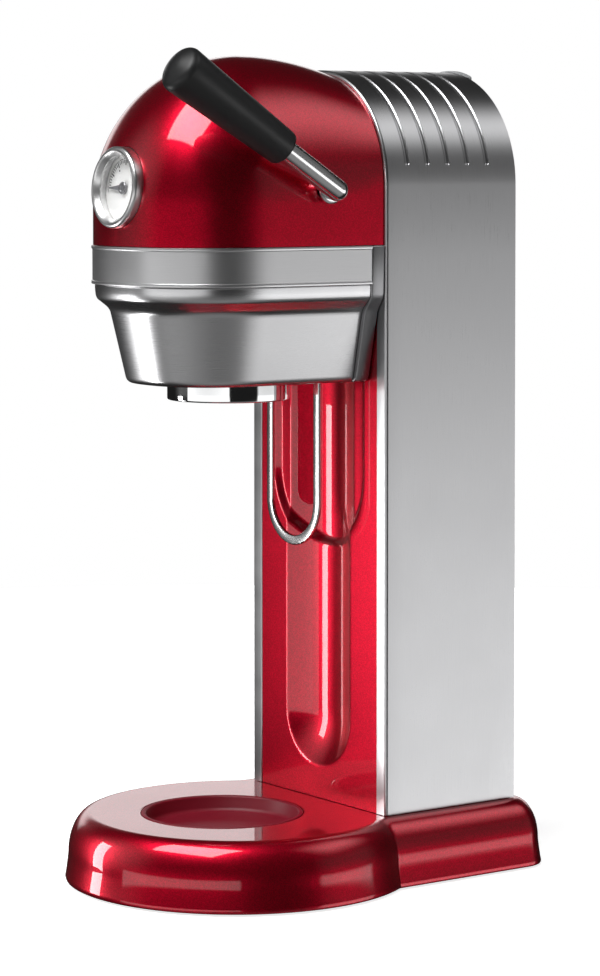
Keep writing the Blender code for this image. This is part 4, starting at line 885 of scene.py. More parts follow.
@dataclass
class Column:
    """The arched metal column, its red front panel and its rear cover."""

    half_width: float = 0.0591
    front: float = 0.0604
    back: float = 0.1449
    foot: float = 0.0353
    spring: float = 0.3563
    wall: float = 0.0015
    lip: float = 0.0080
    corner: float = 0.0016
    grooves: int = 5
    groove_first: float = 0.0140
    groove_pitch: float = 0.0129
    groove_radius: float = 0.0020
    groove_depth: float = 0.0009
    groove_start: float = 11.0
    channel_half: float = 0.028
    channel_depth: float = 0.009
    channel_end: float = 0.052
    recess_half: float = 0.040
    recess_depth: float = 0.0025
    recess_end: float = 0.167
    panel_inset: float = 0.0004
    panel_wall: float = 0.0022
    panel_top: float = 0.305

    def pressed(self, y: float, past: float) -> float:
        """Return how deep a groove is at a place.

        Args:
            y: The place behind the column's front.
            past: How far it lies beyond the grooves' end.

        Returns:
            The depth.
        """
        number = round((y - self.front - self.groove_first) / self.groove_pitch)
        number = min(max(number, 0), self.grooves - 1)
        away = y - self.front - self.groove_first - self.groove_pitch * number
        left = self.groove_radius ** 2 - away * away - past * past
        core = self.groove_radius - self.groove_depth
        return max(0.0, math.sqrt(left) - core) if left > 0 else 0.0

    def section(self, past: float) -> List[Tuple[float, float]]:
        """Return the shell's section as (reach, y) at a distance beyond the grooves' end."""
        radius = self.half_width
        made = [(radius - 0.0003, self.back), (radius, self.back - 0.0003)]
        half = math.sqrt(self.groove_radius ** 2 - (self.groove_radius - self.groove_depth) ** 2)
        for number in reversed(range(self.grooves)):
            y = self.front + self.groove_first + self.groove_pitch * number
            for share in (1.35, 1.08, 1.0, 0.94, 0.8, 0.62, 0.42, 0.2, 0.0, -0.2, -0.42, -0.62, -0.8,
                          -0.94, -1.0, -1.08, -1.35):
                place = y + half * share
                made.append((radius - self.pressed(place, past), place))
        made += arc((radius - self.corner, self.front + self.corner), self.corner, 0, -90, 8)
        made += [(radius - self.lip + 0.0003, self.front), (radius - self.lip, self.front + 0.0003),
                 (radius - self.lip, self.front + self.wall), (radius - self.wall, self.front + self.wall),
                 (radius - self.wall, self.back)]
        return made

    def shell(self) -> None:
        """Bend the shell over its arch with its five pressed grooves."""
        degree = math.radians(1) * self.half_width
        turns = [0.0, 4.0, 7.5] + [8.6 + 0.2 * i for i in range(13)] + [11.5, 12.2, 13.5]
        turns += [15.0 + 2.5 * i for i in range(30)]
        turns += [90.0] + [180 - turn for turn in reversed(turns)]
        straight = (self.foot, 0.08, 0.16, 0.24, 0.32)
        plain = self.section(1.0)
        rings = [[-RIGHT * reach + BACK * y + UP * z for reach, y in plain] for z in straight]
        for turn in turns:
            past = max(0.0, self.groove_start - turn, turn - (180 - self.groove_start)) * degree
            angle = math.pi - math.radians(turn)
            way = Vector((math.cos(angle), 0.0, math.sin(angle)))
            rings.append([way * reach + BACK * y + UP * self.spring for reach, y in self.section(past)])
        rings += [[RIGHT * reach + BACK * y + UP * z for reach, y in plain] for z in reversed(straight)]
        shell = skin("column_bent_shell", rings)
        flow(shell, self.along_bend)
        finished(shell, SHELL_STEEL, Body.MACHINE, ["column_shell"], 40)

    def along_bend(self, point: Vector) -> Tuple[float, float]:
        """Return how far a point lies up and over the arch, and how far back."""
        if point.z >= self.spring:
            return self.half_width * math.atan2(point.z - self.spring, point.x), point.y
        if point.x > 0:
            return point.z - self.spring, point.y
        return math.pi * self.half_width + self.spring - point.z, point.y

    def depth_at(self, x: float, z: float) -> float:
        """Return how far the front panel is pressed in at a point."""
        below = min(0.0, z - (self.channel_end + self.channel_half))
        share = math.hypot(x, below) / self.channel_half
        depth = self.channel_depth * (1 - share * share) if share < 1 else 0.0
        below = min(0.0, z - (self.recess_end + self.recess_half))
        edge = (self.recess_half - math.hypot(x, below)) / 0.004
        edge = max(0.0, min(1.0, edge))
        return depth + self.recess_depth * edge * edge * (3 - 2 * edge)

    def panel(self) -> None:
        """Press the red front panel."""
        half = self.half_width - self.lip - GAP
        rest()
        bpy.ops.mesh.primitive_grid_add(x_subdivisions=120, y_subdivisions=240, size=2.0)
        panel = bpy.context.active_object
        panel.name = "front_pressed_panel"
        for vert in panel.data.vertices:
            x = vert.co.x * half
            z = self.foot + (self.panel_top - self.foot) * (vert.co.y + 1) / 2
            vert.co = Vector((x, self.front + self.panel_inset + self.depth_at(x, z), z))
        thicken(panel, self.panel_wall, Vector((0.0, 1.0, 0.17)))
        finished(panel, RED_ENAMEL, Body.MACHINE, ["front_panel"], 50)

    def opening(self, half: float, foot: float) -> List[Tuple[float, float]]:
        """Return the outline of the column's back opening, as (x, z)."""
        return [(-half, foot), (half, foot)] + arc((0.0, self.spring), half, 0, 180, 72)

    def cover(self) -> None:
        """Fold the lift-off rear cover with its raised border and latch slot."""
        fit = self.half_width - self.wall - GAP
        rear = self.back - 0.0006
        thickness = 0.0020
        cover = slab("rear_folded_cover", self.opening(fit, self.foot), BACK * rear, RIGHT, UP,
                     thickness + 0.0018)
        soften(cover, 0.0006)
        combine(cover, slab("hollow", self.opening(fit - thickness, self.foot + thickness),
                            BACK * (rear - thickness), RIGHT, UP, 0.02))
        combine(cover, slab("field", self.opening(fit - 0.006, self.foot + 0.006), BACK * (rear + 0.01),
                            RIGHT, UP, 0.0107))
        low = 0.402 - 0.0025 - GAP
        combine(cover, block("slot", (-0.0053, rear - 0.02, low), (0.0053, rear + 0.02, 0.4063)))
        finished(cover, GREY_PLASTIC, Body.COVER, ["rear_cover"])

    def latch(self) -> None:
        """Mould the thumb latch with its ribs."""
        low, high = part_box("cover_latch")
        half = (high.x - low.x) / 2
        crown = 0.040
        front = self.back + GAP
        rear = high.y - DISH_SHIFT.y
        lean = math.degrees(math.asin(half / crown))
        outline = [(-half, low.z), (half, low.z)]
        outline += arc((0.0, high.z - crown), crown, 90 - lean, 90 + lean, 24)
        latch = slab("thumb_latch", outline, BACK * rear, RIGHT, UP, rear - front)
        soften(latch, 0.0009, 4)
        for i in range(4):
            z = low.z + 0.0045 + 0.0026 * i
            low_corner = (0.003 - half, rear - 0.0005, z)
            combine(latch, block("rib", low_corner, (half - 0.003, rear + 0.01, z + 0.0011)))
        combine(latch, block("stem", (-0.005, low.y - DISH_SHIFT.y, 0.402), (0.005, front + 0.001, 0.406)),
                "UNION")
        finished(latch, GREY_PLASTIC, Body.LATCH, ["cover_latch"])

    def build(self) -> None:
        """Build the shell, the panel, the cover and its latch."""
        self.shell()
        self.panel()
        self.cover()
        self.latch()


# ---------------------------------------------------------------- head


@dataclass
class Head:
    """The domed head: bowl, saddle, trim band and enamelled dome."""

    half_width: float = 0.0578
    reach: float = 0.0634
    arc_y: float = -0.0060
    roundness: float = 2.35
    back: float = 0.0601
    bowl_bottom: float = 0.256
    bowl_top: float = 0.306
    bowl_wall: float = 0.0018
    saddle_depth: float = 0.0078
    saddle_proud: float = 0.0030
    band_height: float = 0.0195
    band_wall: float = 0.0020
    band_proud: float = 0.0009
    dome_wall: float = 0.0025
    dome_side: float = 0.3465
    dome_top: float = 0.4219
    crown_y: float = 0.010
    column: Column = field(default_factory=Column)
    rear_inset: float = 0.0018

    @property
    def bowl_back(self) -> float:
        """Return where the bowl's flat back stands."""
        return self.back - self.saddle_depth - GAP

    def plan(self, inset: float, z: float, back: Optional[float] = None, steps: int = 96) -> Ring:
        """Return the head's D outline at a height, drawn in by an inset."""
        half = self.half_width - inset
        reach = self.reach - inset + self.arc_y
        rear = self.bowl_back if back is None else back
        points = [Vector((-half, rear, z))]
        for i in range(steps + 1):
            angle = math.pi * i / steps
            c, s = math.cos(angle), math.sin(angle)
            power = 2 / self.roundness
            points.append(Vector((-half * math.copysign(abs(c) ** power, c),
                                  self.arc_y - reach * abs(s) ** power, z)))
        points.append(Vector((half, rear, z)))
        return points

    def around(self, point: Vector) -> Tuple[float, float]:
        """Return how far a point lies round the head, and how high."""
        return 0.055 * math.atan2(point.x, self.crown_y - point.y), point.z

    def bowl(self) -> None:
        """Form the bowl with its mouth for the collar and its slot for the loop."""
        foot = self.bowl_bottom
        levels = [(0.0190, foot), (0.0182, foot + 0.0001)]
        for i in range(1, 9):
            angle = math.radians(78 * i / 8)
            levels.append((0.0186 - 0.0031 * math.sin(angle) / math.sin(math.radians(78)),
                           foot + 0.0034 * (1 - math.cos(angle)) / (1 - math.cos(math.radians(78)))))
        levels += [(0.0119, foot + 0.0197), (0.0086, foot + 0.0345), (0.0083, foot + 0.0358)]
        levels += curve_through([(0.0081, foot + 0.0364), (0.0068, foot + 0.0384), (0.0041, foot + 0.0408),
                                 (0.0020, foot + 0.0426), (0.0012, foot + 0.0444)], 3)
        levels += [(0.0009, foot + 0.0470), (0.0008, self.bowl_top - 0.0004), (0.0010, self.bowl_top)]
        bowl = skin("head_formed_bowl", [self.plan(inset, z) for inset, z in levels])
        floor = foot + self.bowl_wall
        wall = self.bowl_wall
        inner = [(0.0155 + wall, floor), (0.0083 + wall, foot + 0.036), (0.0083 + wall, foot + 0.0405),
                 (0.0014 + wall, self.bowl_top - 0.003), (0.0014 + wall, self.bowl_top + 0.01)]
        combine(bowl, skin("hollow", [self.plan(i, z, self.bowl_back + 0.02, 48) for i, z in inner]))
        cradle = Cradle()
        mouth = cradle.collar_radius + cradle.sway + 0.0012
        combine(bowl, turned("mouth", [(0, floor - 0.02), (mouth, floor - 0.02), (mouth, floor + 0.01),
                                       (0, floor + 0.01)], cradle.axis))
        leg = cradle.loop_radius + cradle.bar_width / 2 + 0.0018
        combine(bowl, block("slot", (-leg, cradle.loop_y - cradle.sway - 0.004, floor - 0.02),
                            (leg, cradle.loop_y + 0.005, floor + 0.004)))
        flow(bowl, self.around)
        finished(bowl, BOWL_ALUMINIUM, Body.MACHINE, ["head_bowl"], 24)

    def saddle(self) -> None:
        """Cut the saddle flange between the bowl and the column."""
        half = self.half_width
        foot = self.bowl_bottom
        proud = self.saddle_proud
        right = [(half - 0.0190 + proud, foot), (half - 0.0166 + proud, foot + 0.0009),
                 (half - 0.0155 + proud, foot + 0.0034), (half - 0.0083 + proud, foot + 0.036)]
        right += [(half - 0.0068 + proud, foot + 0.0385), (half - 0.0014 + 0.0008, foot + 0.0430),
                  (half - 0.0008 + 0.0008, foot + 0.0455), (half + 0.0008, self.band_top)]
        outline = [(-x, z) for x, z in right[::-1]] + right
        saddle = slab("head_saddle_flange", outline, BACK * self.back, RIGHT, UP, self.saddle_depth)
        soften(saddle, 0.0007, 3, 50)
        floor = foot + self.bowl_wall
        hollow = [(half - 0.020, floor), (half - 0.012, foot + 0.036), (half - 0.004, self.bowl_top),
                  (half - 0.004, self.band_top + 0.01)]
        hollow = [(-x, z) for x, z in hollow[::-1]] + hollow
        combine(saddle, slab("opening", hollow, BACK * (self.back + 0.01), RIGHT, UP, 0.03))
        finished(saddle, SADDLE_ALUMINIUM, Body.MACHINE, ["head_saddle"])

    @property
    def band_bottom(self) -> float:
        """Return the band's lower edge."""
        return self.bowl_top + GAP

    @property
    def band_top(self) -> float:
        """Return the band's upper edge."""
        return self.band_bottom + self.band_height

    def band(self) -> None:
        """Roll the trim band with its two raised lips."""
        low, high = self.band_bottom, self.band_top
        proud, lip = self.band_proud, 0.0016
        section = [(-self.band_wall, low), (proud - 0.0004, low), (proud - 0.0001, low + 0.0001),
                   (proud, low + 0.0004), (proud, low + lip - 0.0003), (proud - 0.0001, low + lip),
                   (proud - 0.0005, low + lip + 0.0003), (proud - 0.0005, high - lip - 0.0003),
                   (proud - 0.0001, high - lip), (proud, high - lip + 0.0003), (proud, high - 0.0004),
                   (proud - 0.0001, high - 0.0001), (proud - 0.0004, high), (-self.band_wall, high)]
        plan = self.plan(0.0, 0.0, steps=128)
        rings = []
        for i, point in enumerate(plan):
            ahead = (plan[min(i + 1, len(plan) - 1)] - plan[max(i - 1, 0)]).normalized()
            outward = Vector((ahead.y, -ahead.x, 0.0))
            if i in (0, len(plan) - 1):
                outward = Vector((math.copysign(1.0, point.x), 0.0, 0.0))
            rings.append([point + outward * out + UP * z for out, z in section])
        band = skin("head_trim_band", rings)
        flow(band, self.around)
        finished(band, BAND_STEEL, Body.MACHINE, ["trim_band"])

    def dome_rows(self, rows: int = 56, rear_steps: int = 20) -> List[Ring]:
        """Return the dome's skin as rows from its lower edge to its ridge."""
        low = self.band_top + GAP
        rise = self.dome_top - self.dome_side
        radius = self.column.half_width - self.rear_inset
        front = self.plan(0.0, 0.0)[1:-1]
        made = []
        for k in [0, 0, *range(rows + 1)]:
            angle = math.pi / 2 * k / rows
            c = math.cos(angle) if k != rows else 0.0
            s = math.sin(angle)
            z = self.dome_side + rise * s
            row = []
            for side in (-1, 1):
                rear = []
                for i in range(1, rear_steps + 1):
                    t = i / rear_steps
                    blend = t * t
                    y = self.crown_y + (self.back - self.crown_y) * t
                    level = z + (self.column.spring + radius * s - z) * blend
                    x = (self.half_width + (radius - self.half_width) * blend) * c
                    rear.append(Vector((side * x, y, level)))
                middle = [Vector((side * self.half_width * c, self.crown_y, z))]
                if side < 0:
                    row += rear[::-1] + middle
                    row += [Vector((p.x * c, self.crown_y + (p.y - self.crown_y) * c, z)) for p in front]
                else:
                    row += middle + rear
            made.append(row)
        for share, index in ((0.0, 0), (0.5, 1)):
            made[index] = [Vector((p.x, p.y, low + (q.z - low) * share))
                           for p, q in zip(made[index], made[2])]
        return made

    def dome(self) -> None:
        """Press the enamelled dome with holes for the gauge and the lever."""
        dome = skin("head_pressed_dome", self.dome_rows(), Ends.OPEN, closed=False)
        thicken(dome, self.dome_wall, Vector((0.0, 0.02, 0.34)))
        gauge = Gauge()
        hole = gauge.radius + GAP
        combine(dome, turned("gauge_hole", [(0, -0.03), (hole, -0.03), (hole, 0.03), (0, 0.03)],
                             gauge.origin, gauge.normal))
        lever = Lever()
        hole = lever.neck_radius + 0.0004
        combine(dome, turned("shaft_hole", [(0, 0.04), (hole, 0.04), (hole, 0.08), (0, 0.08)],
                             lever.axis, RIGHT, 48))
        finished(dome, RED_ENAMEL, Body.MACHINE, ["head_dome"], 40)

    def build(self) -> None:
        """Build the head's four outer pieces."""
        self.bowl()
        self.saddle()
        self.band()
        self.dome()


# ---------------------------------------------------------------- gauge


@dataclass
class Gauge:
    """The round pressure gauge."""

    radius: float = 0.0205
    opening: float = 0.0158
    depth: float = 0.010
    dial_radius: float = 0.0172
    tilt: float = 4.5
    needle_length: float = 0.0125
    tick_count: int = 31

    @property
    def origin(self) -> Vector:
        """Return the middle of the bezel's front."""
        return Vector((0.0, -0.0657, 0.3555))

    @property
    def normal(self) -> Vector:
        """Return the way the gauge faces."""
        angle = math.radians(self.tilt)
        return Vector((0.0, -math.cos(angle), math.sin(angle)))

    @property
    def upward(self) -> Vector:
        """Return the dial's upward way."""
        return self.normal.cross(RIGHT)

    def bezel(self) -> None:
        """Turn the bezel: a rounded rim, a sloping inner face and a small step at the lens."""
        radius = self.radius
        seat = self.dial_radius + GAP
        profile = [(radius, -self.depth), (radius, -0.0040), (radius, -0.0020)]
        profile += arc((radius - 0.0018, -0.0018), 0.0018, 0, 90, 8)
        profile += [(radius - 0.0024, -0.0001), (radius - 0.0031, -0.0006), (self.opening + 0.0004, -0.0022),
                    (self.opening, -0.0026), (self.opening, -0.0031), (seat, -0.0031), (seat, -self.depth)]
        finished(turned("gauge_turned_bezel", profile, self.origin, self.normal, 128), BEZEL_CHROME,
                 Body.MACHINE, ["gauge_bezel"])

    def mark(self, name: str, angle: float, inner: float, outer: float, width: float) -> bpy.types.Object:
        """Return one printed mark that lies on the dial.

        Args:
            name: The mark's name.
            angle: Its place round the dial, in degrees from the right.
            inner: Its inner end's distance from the middle.
            outer: Its outer end's distance from the middle.
            width: Its width.

        Returns:
            The new object.
        """
        turn = math.radians(angle)
        out = RIGHT * math.cos(turn) + self.upward * math.sin(turn)
        side = RIGHT * -math.sin(turn) + self.upward * math.cos(turn)
        outline = [(inner, -width / 2), (outer, -width / 2), (outer, width / 2), (inner, width / 2)]
        return slab(name, outline, self.origin + self.normal * -0.00772, out, side, 0.00006)

    def dial(self) -> None:
        """Print the dial with its scale."""
        spindle = 0.0011
        dial = turned("gauge_printed_dial", [(spindle, -0.0085), (self.dial_radius, -0.0085),
                                             (self.dial_radius, -0.0077), (spindle, -0.0077)],
                      self.origin, self.normal)
        dial.data.materials.append(DIAL_WHITE.material())
        marks = []
        for i in range(self.tick_count):
            angle = 180 - 180 * i / (self.tick_count - 1)
            long = i % 5 == 0
            marks.append(self.mark("tick", angle, 0.0116 if long else 0.0126, 0.0142,
                                   0.00075 if long else 0.00048))
        for i in range(12):
            marks.append(self.mark("rule", 177 - 15 * i + 4.5, 0.0146, 0.0149, 0.0036))
        for angle in (58.0, 122.0):
            marks.append(self.mark("dot", angle, 0.0097, 0.0106, 0.0009))
        for mark in marks:
            mark.data.materials.append(DIAL_INK.material())
        pick(dial)
        for mark in marks:
            mark.select_set(True)
        bpy.ops.object.join()
        finished(dial, DIAL_WHITE, Body.MACHINE, ["gauge_dial"])

    def needle(self) -> None:
        """Make the needle: a stepped hub and a tapered blade."""
        spindle, hub, back, front = 0.0008, 0.0032, -0.0071, -0.0060
        profile = [(0, -0.0120), (spindle, -0.0120), (spindle, back), (hub, back), (hub, front - 0.0003),
                   (hub - 0.0003, front), (0.0020, front), (0.0016, front - 0.0004), (0, front - 0.0004)]
        needle = turned("gauge_needle_blade", profile, self.origin, self.normal, 48)
        needle.data.materials.append(NEEDLE_HUB.material())
        tip = -self.needle_length
        outline = [(tip, -0.0002), (0.0, -0.0018), (0.0, 0.0018), (tip, 0.0002)]
        foot = self.origin + self.normal * (back + 0.0002)
        blade = slab("blade", outline, foot, RIGHT, self.upward, 0.0006)
        blade.data.materials.append(NEEDLE_GREY.material())
        pick(needle)
        blade.select_set(True)
        bpy.ops.object.join()
        finished(needle, NEEDLE_GREY, Body.NEEDLE, ["gauge_needle"])

    def lens(self) -> None:
        """Cut the glass with a ground edge."""
        radius = self.dial_radius
        profile = [(0, -0.0044), (radius - 0.0002, -0.0044), (radius, -0.0042), (radius, -0.0036),
                   (radius - 0.0002, -0.0034), (0, -0.0034)]
        glass = finished(turned("gauge_glass", profile, self.origin, self.normal), LENS_CLEAR, Body.MACHINE,
                         ["gauge_lens"])
        glass.visible_shadow = False

    def build(self) -> None:
        """Build the gauge from its dial out."""
        self.dial()
        self.needle()
        self.lens()
        self.bezel()


# ---------------------------------------------------------------- lever


@dataclass
class Lever:
    """The side lever: a plated arm with a flared hub, and a black grip."""

    angle: float = 32.3
    plane_x: float = 0.068
    rod_radius: float = 0.0057
    hub_radius: float = 0.0072
    neck_radius: float = 0.0042
    grip_start: float = 0.0376
    grip_length: float = 0.0774
    grip_inner: float = 0.0092
    grip_outer: float = 0.01218

    @property
    def axis(self) -> Vector:
        """Return the point on the head's middle that the lever turns about."""
        return Vector((0.0, 0.0229, 0.3542))

    @property
    def direction(self) -> Vector:
        """Return the way the arm points at rest."""
        angle = math.radians(self.angle)
        return Vector((0.0, -math.cos(angle), math.sin(angle)))

    def arm(self) -> None:
        """Turn the arm with its ball end, and join its flared hub."""
        hub = self.axis + RIGHT * self.plane_x
        radius = self.rod_radius
        end = self.grip_start + 0.022
        profile = [(radius * math.cos(math.radians(a)), radius * math.sin(math.radians(a)))
                   for a in range(-90, 1, 9)]
        profile[0] = (0.0, -radius)
        profile += [(radius, 0.012), (radius, 0.024), (radius, end), (0, end)]
        arm = turned("lever_plated_arm", profile, hub, self.direction, 64)
        near = 0.0590
        flare = self.plane_x - radius * 0.8
        profile = [(0, near), (self.neck_radius, near), (self.neck_radius + 0.0004, near + 0.0010),
                   (self.hub_radius - 0.0010, flare - 0.0012), (self.hub_radius - 0.0002, flare - 0.0006),
                   (self.hub_radius, flare), (self.hub_radius - 0.0002, flare + 0.0006),
                   (self.hub_radius - 0.0008, flare + 0.0010), (0, flare + 0.0014)]
        combine(arm, turned("hub", profile, self.axis, RIGHT, 64), "UNION")
        finished(arm, SATIN_CHROME, Body.LEVER, ["lever_arm"], 35)

    def grip(self) -> None:
        """Mould the tapering grip over the arm."""
        hub = self.axis + RIGHT * self.plane_x
        bore = self.rod_radius + GAP
        start, end = self.grip_start, self.grip_start + self.grip_length
        edge = 0.0022
        profile = [(0, start + 0.024), (bore, start + 0.024), (bore, start + 0.0004), (bore + 0.0004, start),
                   (self.grip_inner - edge, start)]
        profile += arc((self.grip_inner - edge, start + edge), edge, -80, 0, 8)
        outer = self.grip_outer
        for i in range(1, 7):
            t = i / 7
            profile.append((self.grip_inner + (outer - self.grip_inner) * t,
                            start + edge + (end - 0.0070 - start - edge) * t))
        profile += arc((outer - 0.0045, end - 0.0070), 0.0045, 0, 68, 12)
        profile += [(outer * 0.48, end - 0.0012), (outer * 0.26, end - 0.0004), (0, end)]
        finished(turned("lever_moulded_grip", profile, hub, self.direction, 96), BLACK_GRIP, Body.LEVER,
                 ["lever_grip"], 40)

    def build(self) -> None:
        """Build the arm and the grip."""
        self.arm()
        self.grip()


# ---------------------------------------------------------------- cradle


@dataclass
class Cradle:
    """The tilting bottle cradle: polished collar and loop."""

    bottle_y: float = 0.0043
    pivot_z: float = 0.268
    tilt: float = 8.0
    collar_radius: float = 0.0314
    collar_bottom: float = 0.247
    neck_radius: float = 0.020
    nozzle_radius: float = 0.0028
    yoke_bottom: float = 0.266
    loop_y: float = 0.0452
    loop_radius: float = 0.0207
    bar_width: float = 0.005
    bar_thickness: float = 0.0022
    loop_bottom: float = 0.1693
    notch_turn: float = 52.0

    @property
    def axis(self) -> Vector:
        """Return the bottle's axis on the floor."""
        return Vector((0.0, self.bottle_y, 0.0))

    @property
    def sway(self) -> float:
        """Return how far the collar swings at the bowl's floor."""
        return (self.pivot_z - 0.256) * math.sin(math.radians(self.tilt))

    def collar(self) -> None:
        """Turn the locking collar and cut its notch."""
        radius, low = self.collar_radius, self.collar_bottom
        under = self.yoke_bottom - GAP
        top = under - 0.0032
        inner = self.neck_radius
        edge = 0.0009
        bore = self.nozzle_radius + GAP
        profile = arc((radius - edge, low + edge), edge, -90, 0, 6)
        profile += [(radius, low + 0.0040), (radius, under), (bore, under), (bore, top), (inner, top)]
        profile += [(inner, low + 0.0020)] + arc((inner + 0.0012, low + 0.0012), 0.0012, 180, 270, 4)
        collar = turned("cradle_locking_collar", profile, self.axis, UP, 128)
        angle = math.radians(self.notch_turn)
        out = Vector((math.sin(angle), -math.cos(angle), 0.0))
        side = Vector((math.cos(angle), math.sin(angle), 0.0))
        outline = [(-0.0005, 0.2503), (0.0005, 0.2503), (0.0005, 0.2546), (-0.0005, 0.2546)]
        combine(collar, slab("notch", outline, self.axis + out * (radius - 0.0009), side, UP, -0.004))
        finished(collar, CHROME, Body.CRADLE, ["locking_collar"])

    def loop(self) -> None:
        """Bend the flat bar of the loop that steadies the bottle."""
        half, thin, ease = self.bar_width / 2, self.bar_thickness / 2, 0.0007
        section = arc((half - ease, thin - ease), ease, 0, 90, 4)
        section += arc((ease - half, thin - ease), ease, 90, 180, 4)
        section += arc((ease - half, ease - thin), ease, 180, 270, 4)
        section += arc((half - ease, ease - thin), ease, 270, 360, 4)
        centre = Vector((0.0, self.loop_y, self.loop_bottom + self.loop_radius + half))
        under = self.yoke_bottom - GAP
        stations = [(Vector((-self.loop_radius, self.loop_y, under)), -RIGHT)]
        for i in range(65):
            angle = math.pi + math.pi * i / 64
            outward = Vector((math.cos(angle), 0.0, math.sin(angle)))
            stations.append((centre + outward * self.loop_radius, outward))
        stations.append((Vector((self.loop_radius, self.loop_y, under)), RIGHT))
        rings = [[place + outward * u + BACK * v for u, v in section] for place, outward in stations]
        finished(skin("cradle_bottle_loop", rings), SATIN_CHROME, Body.CRADLE, ["bottle_loop"])

    def build(self) -> None:
        """Build the collar and the loop."""
        self.collar()
        self.loop()


# ---------------------------------------------------------------- works


@dataclass
class Works:
    """The pieces inside and underneath, which keep their drawn shapes."""

    finishes: Dict[str, Finish] = field(default_factory=lambda: {
        "red_enamel": RED_ENAMEL, "dark_red_plastic": DISH_RED, "chrome": CHROME,
        "grey_plastic": GREY_PLASTIC, "black_grip": BLACK_GRIP, "black_rubber": BLACK_RUBBER,
        "zinc_steel": ZINC_STEEL, "brass": BRASS, "cylinder_enamel": CYLINDER_PAINT, "nylon": NYLON,
        "brushed_steel": ZINC_STEEL, "satin_aluminium": SADDLE_ALUMINIUM, "dial_white": DIAL_WHITE,
        "needle_grey": NEEDLE_GREY, "clear_lens": LENS_CLEAR})

    def build(self) -> None:
        """Give every drawn piece that shows its finish."""
        slots = {part["node"]: part["material_slot"] for part in frame["record"]["subparts"]}
        for name, node in frame["nodes"].items():
            if node.hide_render:
                continue
            finish = self.finishes[slots[name]]
            node.data.materials.clear()
            node.data.materials.append(finish.material())
            LOG.info("%s keeps its drawn shape in %s", name, finish.slot)


# ---------------------------------------------------------------- studio


@dataclass(frozen=True)
class SoftBox:
    """A soft light panel far away, placed by compass angle, height and angular size in degrees.

    The compass angle is 0 in front of the object and grows towards its right.
    """

    name: str
    turn: float
    rise: float
    width: float
    height: float
    strength: float
    edge: float = 0.05

    def strength_at(self, tree: bpy.types.NodeTree, direction: object) -> object:
        """Return the panel's strength in a direction, as a socket."""
        turn, rise = math.radians(self.turn), math.radians(self.rise)
        way = Vector((math.sin(turn) * math.cos(rise), -math.cos(turn) * math.cos(rise), math.sin(rise)))
        side = Vector((math.cos(turn), math.sin(turn), 0.0))
        upward = side.cross(way)
        ahead = self.along(tree, direction, way)
        total = Group.maths(tree, "GREATER_THAN", ahead, 0.02)
        total = Group.maths(tree, "MULTIPLY", total, self.strength)
        for axis, span in ((side, self.width), (upward, self.height)):
            offset = Group.maths(tree, "DIVIDE", self.along(tree, direction, axis), ahead)
            offset = Group.maths(tree, "ABSOLUTE", offset, 0.0)
            half = math.tan(math.radians(span / 2))
            fade = tree.nodes.new("ShaderNodeMapRange")
            fade.interpolation_type = "SMOOTHSTEP"
            spread(fade, (max(0.0, half - self.edge), half + self.edge), (1.0, 0.0))
            tree.links.new(offset, fade.inputs["Value"])
            total = Group.maths(tree, "MULTIPLY", total, fade.outputs[0])
        return total

    @staticmethod
    def along(tree: bpy.types.NodeTree, direction: object, axis: Vector) -> object:
        """Return how far a direction goes along an axis, as a socket."""
        node = tree.nodes.new("ShaderNodeVectorMath")
        node.operation = "DOT_PRODUCT"
        node.inputs[1].default_value = axis
        tree.links.new(direction, node.inputs[0])
        return node.outputs["Value"]


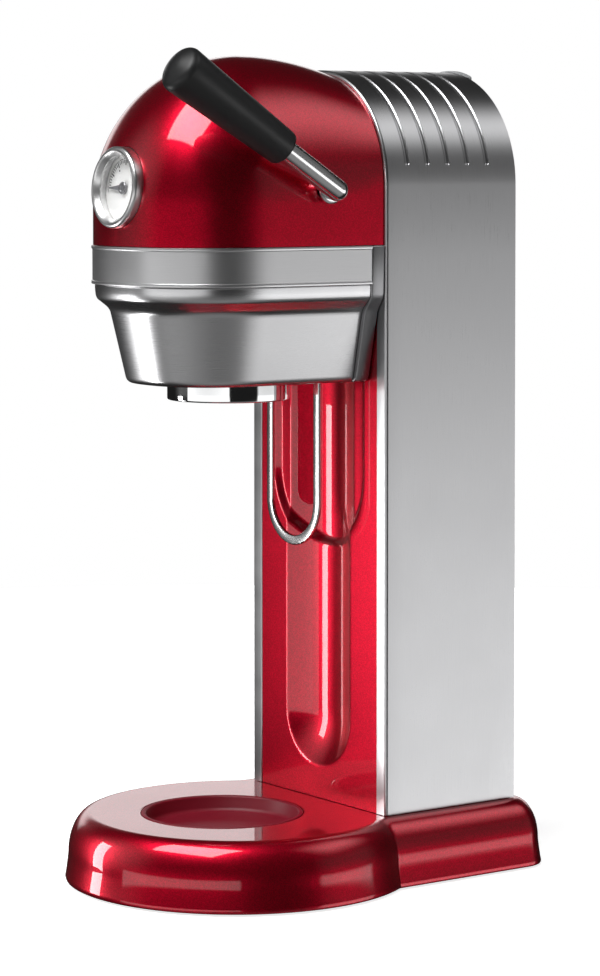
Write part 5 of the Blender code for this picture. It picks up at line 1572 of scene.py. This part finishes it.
@dataclass
class Studio:
    """A white sweep, soft lights and the camera."""

    azimuth: float = 55.84
    yaw: float = -1.41
    pitch: float = 2.46
    distance: float = 1.62315
    height: float = 0.37103
    lens: float = 117.62
    shift_y: float = -0.2
    room_light: float = 0.012
    panels: Sequence[SoftBox] = (
        SoftBox("window", 8, 60, 40, 30, 8.0, 0.02),
        SoftBox("front_left", -36, 20, 40, 36, 0.45, 0.30),
        SoftBox("front_low", 15, -10.5, 84, 14, 1.3, 0.03),
        SoftBox("column_side", 134, -14, 44, 20, 1.4, 0.05),
        SoftBox("column_upper", 136, 12, 44, 24, 0.14, 0.16),
        SoftBox("behind_high", 144, 44, 34, 22, 1.35, 0.20),
        SoftBox("behind_left", -125, 11, 60, 12, 1.25, 0.08),
        SoftBox("below", 60, -48, 150, 50, 0.22, 0.30),
    )

    def world(self) -> None:
        """Surround the object with the panels in a dim room; the camera itself sees a white sweep."""
        world = bpy.data.worlds.new("studio")
        bpy.context.scene.world = world
        world.use_nodes = True
        tree = world.node_tree
        backdrop = tree.nodes["Background"]
        backdrop.inputs["Color"].default_value = (1.0, 1.0, 1.0, 1.0)
        backdrop.inputs["Strength"].default_value = 1.0
        room = tree.nodes.new("ShaderNodeBackground")
        room.inputs["Color"].default_value = (1.0, 1.0, 1.0, 1.0)
        direction = tree.nodes.new("ShaderNodeTexCoord").outputs["Generated"]
        total = Group.maths(tree, "ADD", self.room_light, 0.0)
        for panel in self.panels:
            total = Group.maths(tree, "ADD", total, panel.strength_at(tree, direction))
        tree.links.new(total, room.inputs["Strength"])
        path = tree.nodes.new("ShaderNodeLightPath")
        mix = tree.nodes.new("ShaderNodeMixShader")
        tree.links.new(path.outputs["Is Camera Ray"], mix.inputs[0])
        tree.links.new(room.outputs[0], mix.inputs[1])
        tree.links.new(backdrop.outputs[0], mix.inputs[2])
        tree.links.new(mix.outputs[0], tree.nodes["World Output"].inputs[0])

    def floor(self) -> None:
        """Lay a plain pale floor."""
        rest()
        bpy.ops.mesh.primitive_circle_add(vertices=96, radius=1.1, fill_type="NGON")
        floor = bpy.context.active_object
        floor.name = "studio_floor"
        floor.visible_glossy = False
        material = bpy.data.materials.new("pale_floor")
        material.use_nodes = True
        tree = material.node_tree
        shader = tree.nodes["Principled BSDF"]
        shader.inputs["Base Color"].default_value = (0.80, 0.80, 0.80, 1.0)
        shader.inputs["Roughness"].default_value = 0.8
        shader.inputs["Specular IOR Level"].default_value = 0.0
        shader.inputs["Emission Color"].default_value = (1.0, 1.0, 1.0, 1.0)
        path = tree.nodes.new("ShaderNodeLightPath")
        glow = Group.maths(tree, "MULTIPLY", path.outputs["Is Camera Ray"], 0.80)
        tree.links.new(glow, shader.inputs["Emission Strength"])
        floor.data.materials.append(material)

    def low_lamp(self) -> None:
        """Stand a small soft light low down in front, on the left."""
        data = bpy.data.lights.new("low_lamp", "AREA")
        data.shape = "RECTANGLE"
        data.size, data.size_y = 0.09, 0.25
        data.energy = 0.66
        lamp = bpy.data.objects.new("low_lamp", data)
        bpy.context.scene.collection.objects.link(lamp)
        lamp.location = (-0.33, -0.37, 0.075)
        lamp.rotation_euler = (math.radians(90), 0.0, math.radians(-41))

    def camera(self) -> None:
        """Set the camera at a three-quarter view from the lever's side."""
        data = bpy.data.cameras.new("camera")
        camera = bpy.data.objects.new("camera", data)
        bpy.context.scene.collection.objects.link(camera)
        angle = math.radians(self.azimuth)
        camera.location = (self.distance * math.sin(angle),
                           DISH_SHIFT.y - self.distance * math.cos(angle), self.height)
        camera.rotation_euler = (math.radians(90 - self.pitch), 0.0, math.radians(self.azimuth + self.yaw))
        data.lens = self.lens
        data.shift_y = self.shift_y
        data.clip_start = 0.05
        data.clip_end = 40.0
        bpy.context.scene.camera = camera

    def build(self) -> None:
        """Set up the room, its lights and the camera."""
        bpy.context.scene.view_settings.view_transform = "Standard"
        self.world()
        self.floor()
        self.low_lamp()
        self.camera()


def main() -> None:
    """Build every sub-assembly in order, then the studio."""
    logging.basicConfig(level=logging.INFO, format="%(name)s: %(message)s")
    for assembly in (Base(), Column(), Head(), Gauge(), Lever(), Cradle(), Works(), Studio()):
        LOG.info("building %s", type(assembly).__name__)
        assembly.build()
    rest()


if __name__ == "__main__":
    main()
